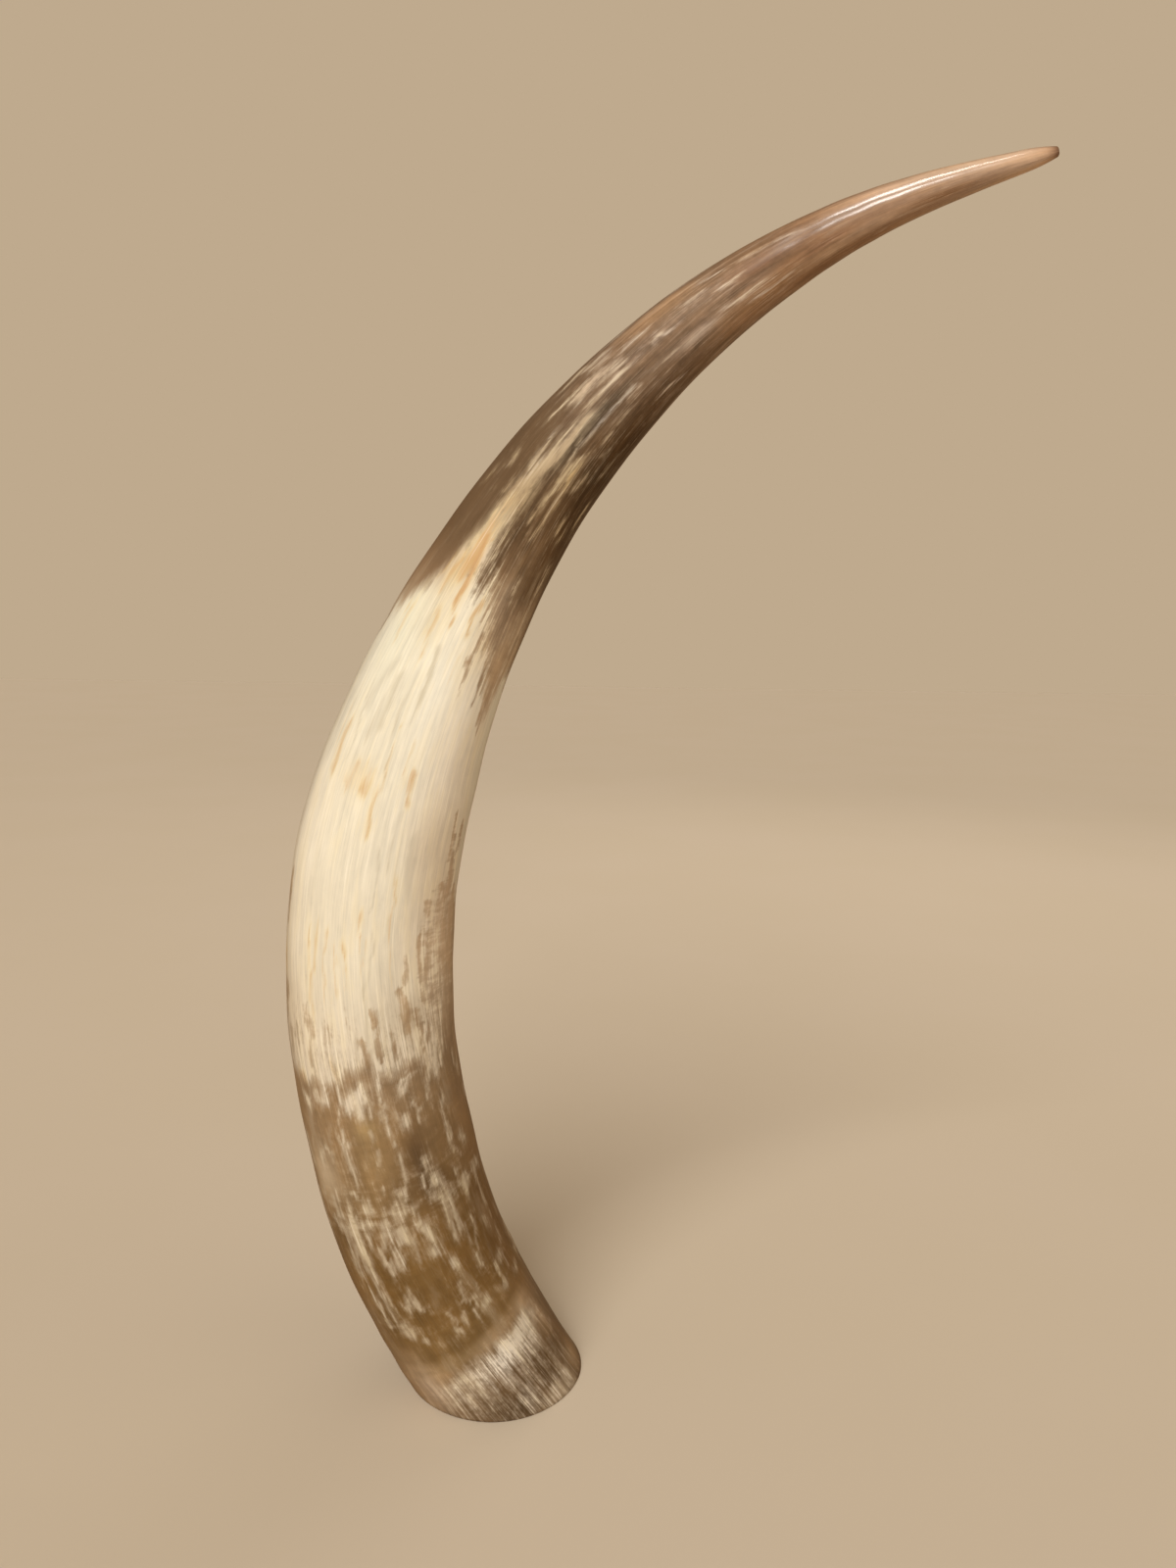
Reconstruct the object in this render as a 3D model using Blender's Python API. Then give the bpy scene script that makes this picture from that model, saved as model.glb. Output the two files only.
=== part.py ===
# Ankole cattle horn: one polished horn sheath, sawn off flat at its root and
# standing on that cut. It bows out to one side just above the cut, then sweeps
# up and across in one long curve to a blunt tip. The sheath is open and hollow
# at the cut, where the bone was, and solid from about two thirds of its length
# to the tip.
#
# Units are metres. +Z is up, the horn's bow lies in the X-Z plane with the tip
# towards +X, and -Y is the side it is looked at from. The origin is the middle
# of the horn's bounding box, on the surface that it stands on.

import bpy
import bmesh
import numpy as np

# ---- driving dimensions ----------------------------------------------------

# Middle line of the horn, from just under the cut to the tip, and the radius
# across the bow at each point: x, z, radius. The points are 13 to 14 cm apart.
GUIDE = (
    (-0.080, -0.037, 0.0590),
    (-0.149, 0.078, 0.0615),
    (-0.190, 0.207, 0.0640),
    (-0.204, 0.344, 0.0635),
    (-0.183, 0.481, 0.0600),
    (-0.132, 0.609, 0.0480),
    (-0.059, 0.725, 0.0365),
    (0.035, 0.820, 0.0270),
    (0.146, 0.889, 0.0165),
    (0.266, 0.929, 0.0062),
)

ROOT_Y = 0.003          # the middle line's Y at the cut
TIP_LEAN = 0.053        # how far the tip has come forward, towards -Y
LEAN_POWER = 1.4        # the lean grows slowly near the root

ROOT_DEPTH = 1.24       # depth over width of the section at the cut
ROUND_FROM = 0.60       # share of the length from which the section is round

RIM_WALL = 0.006        # thickness of the sheath at the cut
WALL_GROWTH = 0.009     # how much thicker it has grown where the hollow narrows
HOLLOW_END = 0.60       # share of the length where the hollow ends
HOLLOW_TAPER = 0.26     # share of the length over which it closes
HOLLOW_SHAPE = 0.60     # below 1 gives the hollow a rounded end

TIP_ROUNDING = 0.0022   # how far the blunt tip's edge is rounded off

HORN_RINGS = 66
HORN_SIDES = 32
HOLLOW_RINGS = 40
HOLLOW_SIDES = 28

NAME = "ankole_cattle_horn"


# ---- the middle line -------------------------------------------------------

def natural_spline(knots, values):
    """A smooth curve through values at knots; returns a function of position."""
    n = len(knots)
    h = np.diff(knots)
    a = np.zeros((n, n))
    b = np.zeros((n, values.shape[1]))
    a[0, 0] = a[-1, -1] = 1.0
    for i in range(1, n - 1):
        a[i, i - 1 : i + 2] = h[i - 1], 2 * (h[i - 1] + h[i]), h[i]
        b[i] = 6 * ((values[i + 1] - values[i]) / h[i] - (values[i] - values[i - 1]) / h[i - 1])
    m = np.linalg.solve(a, b)

    def at(u):
        i = np.clip(np.searchsorted(knots, u) - 1, 0, n - 2)
        hi, lo, up = h[i][:, None], (u - knots[i])[:, None], (knots[i + 1] - u)[:, None]
        return (
            m[i] * up**3 / (6 * hi)
            + m[i + 1] * lo**3 / (6 * hi)
            + (values[i] / hi - m[i] * hi / 6) * up
            + (values[i + 1] / hi - m[i + 1] * hi / 6) * lo
        )

    return at


guide = np.array(GUIDE)
steps = np.linalg.norm(np.diff(guide[:, :2], axis=0), axis=1)
knots = np.concatenate(([0.0], np.cumsum(steps)))
along = natural_spline(knots, guide)

fine = np.linspace(0.0, knots[-1], 2001)
cut_at = fine[np.argmax(along(fine)[:, 1] >= 0.0)]     # where it crosses the cut


def line(u):
    """Middle line, share of the length from the cut, and radius at u."""
    x, z, radius = along(u).T
    share = np.clip((u - cut_at) / (knots[-1] - cut_at), 0.0, 1.0)
    y = ROOT_Y - TIP_LEAN * share**LEAN_POWER
    return np.stack([x, y, z], axis=1), share, radius


def frames(points):
    """Directions along the line, across the bow and through its depth."""
    t = np.gradient(points, axis=0)
    t /= np.linalg.norm(t, axis=1)[:, None]
    across = np.cross(t, (0.0, 1.0, 0.0))
    across /= np.linalg.norm(across, axis=1)[:, None]
    return t, across, np.cross(across, t)


# ---- solids ----------------------------------------------------------------

def collection(name):
    made = bpy.data.collections.new(name)
    bpy.context.scene.collection.children.link(made)
    return made


def tube(name, points, radii, shares, sides, into):
    """A capped tube along points, deeper than wide towards the root."""
    curve = bpy.data.curves.new(name + "_line", "CURVE")
    curve.dimensions = "3D"
    curve.bevel_depth = 1.0
    curve.bevel_resolution = (sides - 4) // 2
    curve.use_fill_caps = True
    spline = curve.splines.new("POLY")
    spline.points.add(len(points) - 1)
    for p, co, r in zip(spline.points, points, radii):
        p.co = (co[0], co[1], co[2], 1.0)
        p.radius = r
    source = bpy.data.objects.new(name + "_line", curve)
    into.objects.link(source)
    bpy.context.view_layer.update()
    evaluated = source.evaluated_get(bpy.context.evaluated_depsgraph_get())
    mesh = bpy.data.meshes.new_from_object(evaluated)
    mesh.name = name
    made = bpy.data.objects.new(name, mesh)
    made.matrix_world = source.matrix_world
    into.objects.link(made)
    bpy.data.objects.remove(source)
    bpy.data.curves.remove(curve)

    t, across, deep = frames(points)
    depth = 1.0 + (ROOT_DEPTH - 1.0) * np.clip(1.0 - shares / ROUND_FROM, 0.0, 1.0)
    bm = bmesh.new()
    bm.from_mesh(mesh)
    bmesh.ops.remove_doubles(bm, verts=bm.verts, dist=0.00002)
    for v in bm.verts:
        co = np.array(v.co)
        k = int(np.argmin(np.sum((points - co) ** 2, axis=1)))
        off = co - points[k]
        v.co = co + (depth[k] - 1.0) * np.dot(off, deep[k]) * deep[k]
    bmesh.ops.recalc_face_normals(bm, faces=bm.faces)
    bm.to_mesh(mesh)
    bm.free()
    return made


def as_cutter(made):
    made.display_type = "WIRE"
    made.hide_render = True
    return made


def cut(made, cutter, name):
    modifier = made.modifiers.new(name, "BOOLEAN")
    modifier.operation = "DIFFERENCE"
    modifier.solver = "EXACT"
    modifier.object = cutter


def polished_horn():
    material = bpy.data.materials.new("horn")
    material.use_nodes = True
    shader = material.node_tree.nodes["Principled BSDF"]
    shader.inputs["Base Color"].default_value = (0.47, 0.36, 0.24, 1.0)
    shader.inputs["Roughness"].default_value = 0.22
    shader.inputs["Metallic"].default_value = 0.0
    material.diffuse_color = (0.47, 0.36, 0.24, 1.0)
    return material


def main():
    for old in list(bpy.data.objects):
        bpy.data.objects.remove(old, do_unlink=True)
    parts = collection(NAME)
    cutters = collection("cutters")

    # The sheath, from under the cut to the tip, with the tip's edge rounded off.
    u = np.linspace(0.0, knots[-1], HORN_RINGS)
    u = np.append(u[:-1], knots[-1] - TIP_ROUNDING)
    points, shares, radii = line(u)
    tip, tip_share, tip_radius = line(np.array([knots[-1] - 0.35 * TIP_ROUNDING, knots[-1]]))
    points = np.concatenate([points, tip])
    shares = np.concatenate([shares, tip_share])
    radii = np.concatenate([radii, tip_radius * (0.86, 0.62)])
    horn = tube("horn", points, radii, shares, HORN_SIDES, parts)
    horn.data.materials.append(polished_horn())

    # Everything under the cut goes.
    box = bpy.data.meshes.new("below_the_cut")
    bm = bmesh.new()
    bmesh.ops.create_cube(bm, size=0.5)
    bm.to_mesh(box)
    bm.free()
    below = bpy.data.objects.new("below_the_cut", box)
    below.location = (float(guide[0, 0]), 0.0, -0.25)
    cutters.objects.link(below)
    cut(horn, as_cutter(below), "flat_cut")

    # The hollow that the bone left, open at the cut.
    u = np.linspace(0.0, cut_at + HOLLOW_END * (knots[-1] - cut_at), 400)
    points, shares, radii = line(u)
    wall = RIM_WALL + WALL_GROWTH * np.clip(shares / 0.6, 0.0, 1.0) ** 1.5
    narrowing = np.clip((HOLLOW_END - shares) / HOLLOW_TAPER, 0.0, 1.0) ** HOLLOW_SHAPE
    inside = (radii - wall) * narrowing
    keep = np.unique(np.round(np.linspace(0.0, 1.0, HOLLOW_RINGS) * 396).astype(int))
    hollow = tube("hollow", points[keep], inside[keep], shares[keep], HOLLOW_SIDES, cutters)
    cut(horn, as_cutter(hollow), "hollow")

    bpy.context.view_layer.update()
    horn.data.shade_smooth()
    horn.data.set_sharp_from_angle(angle=0.7)


main()
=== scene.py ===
# Looks of the ankole cattle horn: one polished horn, sawn off flat at the root
# and hollow there, with its growth markings laid on in horn coordinates.
#
# Places on the horn are given as (angle, s). s is the distance in metres along
# its middle line from the cut. The angle is in degrees round it: 0 is the outer
# side of the bow, 90 the front, 180 the inner side and 270 the back.
import math

import bpy
import numpy as np
from mathutils import Matrix, Vector


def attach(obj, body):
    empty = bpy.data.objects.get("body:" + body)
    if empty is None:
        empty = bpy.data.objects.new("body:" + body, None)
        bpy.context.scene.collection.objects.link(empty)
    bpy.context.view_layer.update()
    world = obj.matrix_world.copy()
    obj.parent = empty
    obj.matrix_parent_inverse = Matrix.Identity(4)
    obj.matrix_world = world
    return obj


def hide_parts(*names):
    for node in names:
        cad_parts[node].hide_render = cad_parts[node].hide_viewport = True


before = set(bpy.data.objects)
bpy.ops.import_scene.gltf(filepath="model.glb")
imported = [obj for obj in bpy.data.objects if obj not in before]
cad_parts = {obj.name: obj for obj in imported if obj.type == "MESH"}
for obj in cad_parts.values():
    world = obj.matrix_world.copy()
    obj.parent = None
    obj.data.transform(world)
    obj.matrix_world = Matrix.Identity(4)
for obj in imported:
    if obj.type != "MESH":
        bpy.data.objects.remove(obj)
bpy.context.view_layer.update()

# ---- the horn's form, as in its solid ---------------------------------------

GUIDE = np.array(
    (
        (-0.080, -0.037, 0.0590),
        (-0.149, 0.078, 0.0615),
        (-0.190, 0.207, 0.0640),
        (-0.204, 0.344, 0.0635),
        (-0.183, 0.481, 0.0600),
        (-0.132, 0.609, 0.0480),
        (-0.059, 0.725, 0.0365),
        (0.035, 0.820, 0.0270),
        (0.146, 0.889, 0.0165),
        (0.266, 0.929, 0.0062),
    )
)
ROOT_Y, TIP_LEAN, LEAN_POWER = 0.003, 0.053, 1.4
ROOT_DEPTH, ROUND_FROM = 1.24, 0.60
RIM_WALL, WALL_GROWTH = 0.006, 0.009
HOLLOW_END, HOLLOW_TAPER, HOLLOW_SHAPE = 0.60, 0.26, 0.60
TIP_REACH, TIP_ROUNDING = 0.0105, 0.0008

SIDES = 190
GRAIN_RADIUS = 0.06     # the grain's own cylinder, so fibres draw together towards the tip
TWIST = math.radians(80)  # how far the grain turns round per metre near the root


def natural_spline(knots, values):
    """A smooth curve through values at knots; returns a function of position."""
    n = len(knots)
    h = np.diff(knots)
    a = np.zeros((n, n))
    b = np.zeros((n, values.shape[1]))
    a[0, 0] = a[-1, -1] = 1.0
    for i in range(1, n - 1):
        a[i, i - 1 : i + 2] = h[i - 1], 2 * (h[i - 1] + h[i]), h[i]
        b[i] = 6 * ((values[i + 1] - values[i]) / h[i] - (values[i] - values[i - 1]) / h[i - 1])
    m = np.linalg.solve(a, b)

    def at(u):
        i = np.clip(np.searchsorted(knots, u) - 1, 0, n - 2)
        hi, lo, up = h[i][..., None], (u - knots[i])[..., None], (knots[i + 1] - u)[..., None]
        return (
            m[i] * up**3 / (6 * hi)
            + m[i + 1] * lo**3 / (6 * hi)
            + (values[i] / hi - m[i] * hi / 6) * up
            + (values[i + 1] / hi - m[i + 1] * hi / 6) * lo
        )

    return at


steps = np.linalg.norm(np.diff(GUIDE[:, :2], axis=0), axis=1)
knots = np.concatenate(([0.0], np.cumsum(steps)))
along = natural_spline(knots, GUIDE)
fine = np.linspace(0.0, knots[-1], 2001)
CUT = fine[np.argmax(along(fine)[:, 1] >= 0.0)]
LENGTH = knots[-1] - CUT
END = LENGTH + TIP_REACH


def middle(s):
    x, z, _ = np.moveaxis(along(s + CUT), -1, 0)
    share = np.maximum(s / LENGTH, 0.0)
    return np.stack([x, ROOT_Y - TIP_LEAN * share**LEAN_POWER, z], axis=-1)


def radius_at(s):
    """The solid's radius, drawn in over the last two centimetres of the worn tip."""
    drawn = np.clip((s - END + 0.022) / 0.022, 0.0, 1.0)
    return along(s + CUT)[..., 2] - 0.0022 * drawn * drawn


def bump(x, centre, width):
    return np.exp(-(((x - centre) / width) ** 2))


def swell(s, psi):
    """Small differences of a grown and hand-sanded horn from the even form, in metres."""
    size = np.clip(radius_at(s) / 0.062, 0.1, 1.0)
    soft = (
        0.00050 * np.sin(3 * psi + 11.0 * s + 0.6)
        + 0.00035 * np.sin(2 * psi - 17.0 * s + 2.1)
        + 0.00045 * np.sin(41.0 * s + 1.3 * np.sin(psi + 0.7))
        + 0.00022 * np.sin(5 * psi + 29.0 * s)
        + 0.00018 * np.sin(97.0 * s + 2.0 * np.sin(psi) + 0.8)
    )
    wavy = 0.00020 * np.sin(3 * psi + 190.0 * s) + 0.00012 * np.sin(5 * psi - 250.0 * s + 1.0)
    soft = soft + wavy * np.clip((s - 0.92) / 0.08, 0.0, 1.0)
    rings = 0.0004 * (bump(s, 0.050, 0.006) - bump(s, 0.066, 0.006) + 0.7 * bump(s, 0.082, 0.007))
    return soft * size + rings * (0.6 + 0.4 * np.cos(psi - 1.7))


def horn_point(s, psi, inset=0.0, inner=False):
    """A point of the outside, or of the hollow's wall, at s and psi (radians)."""
    c = middle(s)
    t = middle(s + 1e-4) - c
    t /= np.linalg.norm(t, axis=-1)[..., None]
    across = np.cross(t, (0.0, 1.0, 0.0))
    across /= np.linalg.norm(across, axis=-1)[..., None]
    deep = np.cross(across, t)
    share = np.clip(s / LENGTH, 0.0, 1.0)
    radius = radius_at(s)
    if inner:
        wall = RIM_WALL + WALL_GROWTH * np.clip(share / 0.6, 0.0, 1.0) ** 1.5
        narrow = np.clip((HOLLOW_END - share) / HOLLOW_TAPER, 0.0, 1.0) ** HOLLOW_SHAPE
        ridge = 0.00035 * np.sin(23 * psi + 9 * s) + 0.00030 * np.sin(37 * psi - 14 * s + 1.0)
        ridge = ridge + 0.0004 * np.sin(140 * s + 2 * np.sin(2 * psi))
        radius = (radius - wall + ridge * np.clip(s / 0.01 + 1.0, 0.0, 1.0)) * narrow
    else:
        radius = radius + swell(s, psi)
    radius = radius - inset
    oval = 1.0 + (ROOT_DEPTH - 1.0) * np.clip(1.0 - share / ROUND_FROM, 0.0, 1.0)
    return c + radius[..., None] * (
        np.cos(psi)[..., None] * across - (oval * np.sin(psi))[..., None] * deep
    )


def rim_s(psi, height, inset=0.0, inner=False):
    """The s at which the surface stands height above the cut, for each psi."""
    low, high = np.full(psi.shape, -0.06), np.full(psi.shape, 0.09)
    for _ in range(40):
        half = (low + high) / 2
        above = horn_point(half, psi, inset, inner)[..., 2] > height
        high = np.where(above, half, high)
        low = np.where(above, low, half)
    return (low + high) / 2


# ---- the mesh ---------------------------------------------------------------

psi_row = np.linspace(0.0, 2 * np.pi, SIDES, endpoint=False) + math.radians(270)
EDGE = 0.0006           # how far the sawn rim's two edges are rubbed round

rows, row_s, row_part, row_layer = [], [], [], []


def add_row(points, s, part, layer=0.0):
    rows.append(points)
    row_s.append(np.broadcast_to(s, points.shape[:1]).astype(float))
    row_part.append(part)
    row_layer.append(layer)


# The hollow's wall, from its closed end down to the cut.
s_in = rim_s(psi_row, EDGE, inner=True)
close = HOLLOW_END * LENGTH
for w in np.linspace(0.0, 1.0, 56)[1:]:
    t = close * (1.0 - w) ** 1.0
    t = close - close * (w**1.35)
    s = t + s_in * max(0.0, 1.0 - t / 0.12)
    add_row(horn_point(s, psi_row, inner=True), s, "inside", 1.0)
inner_edge = rows[-1].copy()
inner_edge[:, 2] = 0.0
s_out = rim_s(psi_row, EDGE)
outer_edge = horn_point(rim_s(psi_row, 0.0, EDGE), psi_row, EDGE)
outer_edge[:, 2] = 0.0
gap = outer_edge - inner_edge
step = EDGE / np.linalg.norm(gap, axis=1)[:, None]
for k in (0.0, 0.12, 0.5, 0.88, 1.0):
    f = step + (1.0 - step) * k
    add_row(inner_edge + gap * f, s_out, "cut", 1.0 - k)

# The outside, from the cut to the tip.
dense = np.arange(0.0, 0.90, 0.00262)
thin = np.linspace(0.90, END - TIP_ROUNDING, 66)
for t in np.concatenate([dense, thin]):
    s = t + s_out * max(0.0, 1.0 - t / 0.12)
    add_row(horn_point(s, psi_row), s, "outside")
tip_radius = float(radius_at(END))
for a in np.radians((22, 45, 68, 90)):
    s = np.full(SIDES, END - TIP_ROUNDING * (1.0 - math.sin(a)))
    inset = TIP_ROUNDING * 1.05 * (1.0 - math.cos(a))
    add_row(horn_point(s, psi_row, inset), s, "outside")
for k in (0.62, 0.30):
    s = np.full(SIDES, END + 0.0002 * (1.0 - k))
    add_row(horn_point(s, psi_row, tip_radius - (tip_radius - TIP_ROUNDING) * k), s, "tip_end")

points = np.concatenate(rows + [middle(np.array([close])), middle(np.array([END + 0.0002]))])
count = len(rows)
closed_end, tip_end = count * SIDES, count * SIDES + 1
k = np.arange(SIDES)
nxt = (k + 1) % SIDES
quads = []
for r in range(count - 1):
    a, b = r * SIDES, (r + 1) * SIDES
    quads.append(np.stack([a + k, a + nxt, b + nxt, b + k], axis=1))
quads = np.concatenate(quads)
fans = np.concatenate(
    [
        np.stack([np.full(SIDES, closed_end), nxt, k], axis=1),
        np.stack([np.full(SIDES, tip_end), (count - 1) * SIDES + k, (count - 1) * SIDES + nxt], axis=1),
    ]
)
mesh = bpy.data.meshes.new("horn_polished")
faces = [tuple(f) for f in quads.tolist()] + [tuple(f) for f in fans.tolist()]
mesh.from_pydata(points.tolist(), [], faces)
mesh.update()

quad_part = np.repeat([0 if p == "outside" else 1 if p in ("inside", "cut") else 2 for p in row_part[1:]], SIDES)
slots = np.concatenate([quad_part, np.full(SIDES, 1), np.full(SIDES, 2)])
mesh.polygons.foreach_set("material_index", slots.astype(np.int32))
mesh.polygons.foreach_set("use_smooth", np.ones(len(faces), bool))

# ---- markings, with some painted shade and reflections ----------------------

psi = np.concatenate([np.tile(np.degrees(psi_row), count), [0.0, 0.0]]) % 360.0
s = np.concatenate(row_s + [[close], [END]])
layer = np.concatenate([np.repeat(row_layer, SIDES), [1.0, 0.0]])


def smooth(x):
    x = np.clip(x, 0.0, 1.0)
    return x * x * (3.0 - 2.0 * x)


def apart(a, b):
    """Difference of two angles in degrees, the short way round."""
    return (a - b + 180.0) % 360.0 - 180.0


# The grain's own coordinates: a cylinder that turns slowly, so noise has no seam.
turn = np.radians(psi) + TWIST * np.where(s < 0.40, s, 0.40 + 0.30 * (s - 0.40))
grain = np.stack([GRAIN_RADIUS * np.cos(turn), GRAIN_RADIUS * np.sin(turn), s], axis=1)


def drift(cells, length, seed):
    """Smooth chance from -1 to 1 over the horn: cells round it, each this long."""
    made = np.random.default_rng(seed).uniform(-1.0, 1.0, (int(1.4 / length) + 4, cells))
    x = (turn / (2 * np.pi) * cells) % cells
    y = (s + 0.09) / length
    xi, yi = np.floor(x).astype(int), np.floor(y).astype(int)
    fx, fy = smooth(x - xi), smooth(y - yi)
    x0, x1 = xi % cells, (xi + 1) % cells
    low = made[yi, x0] * (1 - fx) + made[yi, x1] * fx
    high = made[yi + 1, x0] * (1 - fx) + made[yi + 1, x1] * fx
    return low * (1 - fy) + high * fy


# Markings wander with the grain: fibres shift a little and end at unlike lengths.
psi_there = psi + 1.9 * drift(44, 0.017, 3) + 1.0 * drift(88, 0.008, 5)
s_there = s + 0.0032 * drift(128, 0.034, 7) + 0.0026 * drift(60, 0.012, 9) + 0.0018 * drift(170, 0.016, 11)


def round_the_horn(table):
    """A closed curve s(angle) through (angle, s) points."""
    t = np.array(table)
    return np.interp(psi_there % 360.0, np.append(t[:, 0], 360.0), np.append(t[:, 1], t[0, 1]))


def stroke(path, fade=0.006):
    """How deep inside a stroke each point lies: 1 on its line, 0 well outside.

    path is a row of (angle, s, half width in degrees), with any s order.
    """
    p = np.array(sorted(path, key=lambda q: q[1]))
    at = np.interp(s_there, p[:, 1], p[:, 0])
    wide = np.interp(s_there, p[:, 1], p[:, 2])
    past = np.maximum(p[0, 1] - s_there, 0.0) + np.maximum(s_there - p[-1, 1], 0.0)
    return smooth(1.0 - np.hypot(apart(psi_there, at) / wide, past / fade) / 2.1)


def strokes(table, into, haze=0.0):
    """Lays (strength, fade, path) strokes over a field that is -1 where there is nothing.

    haze adds a wide faint cloud round each.
    """
    for strength, fade, path in table:
        into = np.maximum(into, (1.0 + strength) * stroke(path, fade) - 1.0)
        if haze:
            wider = [(angle, at, min(1.8 * wide + 1.6, wide + 4.0)) for angle, at, wide in path]
            into = np.maximum(into, haze * strength * stroke(wider, 2.0 * fade) - 1.0)
    return into


def take_out(table, into):
    """Takes strokes out of the cream, down to the dark where they are strongest."""
    for strength, fade, path in table:
        into = np.minimum(into, FULL - (FULL + strength) * stroke(path, fade))
    return into


def patches(table, base):
    """Soft patches of (angle, s, angular half size, length half size, colour, strength)."""
    out = base.copy()
    for angle, at, wide, long, colour, strength in table:
        near = np.exp(-((apart(psi, angle) / wide) ** 2) - (((s - at) / long) ** 2)) * strength
        out += (np.array(colour, float) - out) * near[:, None]
    return out


def linear(rgb):
    c = np.array(rgb, float) / 255.0
    return np.where(c <= 0.04045, c / 12.92, ((c + 0.055) / 1.055) ** 2.4)


def stops(table):
    """A colour along the horn from (s, (r, g, b)) stops."""
    at = np.array([q[0] for q in table])
    rgb = np.array([q[1] for q in table], float)
    return np.stack([np.interp(s, at, rgb[:, i]) for i in range(3)], axis=1)


FULL = 2.2      # the cover of cream that is opaque throughout

# Where the cream zone begins, scalloped, and where the dark end begins.
CREAM_FROM = (
    (0, 0.300), (15, 0.304), (30, 0.298), (42, 0.300), (52, 0.297), (60, 0.300), (67, 0.296),
    (75, 0.297), (80, 0.300), (86, 0.306), (92, 0.307), (98, 0.312), (101, 0.309), (103, 0.303),
    (108, 0.299), (115, 0.298), (120, 0.303), (124, 0.307), (130, 0.305), (136, 0.302), (140, 0.290),
    (145, 0.287), (152, 0.288), (157, 0.300), (160, 0.350), (165, 0.420), (172, 0.440), (182, 0.410),
    (195, 0.350), (205, 0.310), (218, 0.296), (230, 0.288), (243, 0.294), (252, 0.287), (262, 0.296),
    (275, 0.303), (288, 0.298), (300, 0.306), (312, 0.300), (325, 0.292), (340, 0.297), (350, 0.303),
)
DARK_FROM = (
    (0, 0.636), (12, 0.640), (25, 0.642), (33, 0.641), (38, 0.648), (44, 0.658), (50, 0.665),
    (56, 0.676), (61, 0.690), (65, 0.702), (90, 0.686), (94, 0.679), (102, 0.681), (110, 0.676),
    (115, 0.662), (120, 0.652), (127, 0.640), (134, 0.625), (141, 0.612), (148, 0.598), (154, 0.592),
    (160, 0.620), (168, 0.628), (180, 0.610), (192, 0.622), (204, 0.640), (216, 0.655), (230, 0.668),
    (244, 0.650), (258, 0.634), (270, 0.646), (283, 0.668), (296, 0.676), (308, 0.660), (322, 0.642),
    (338, 0.632), (350, 0.626),
)

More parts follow.
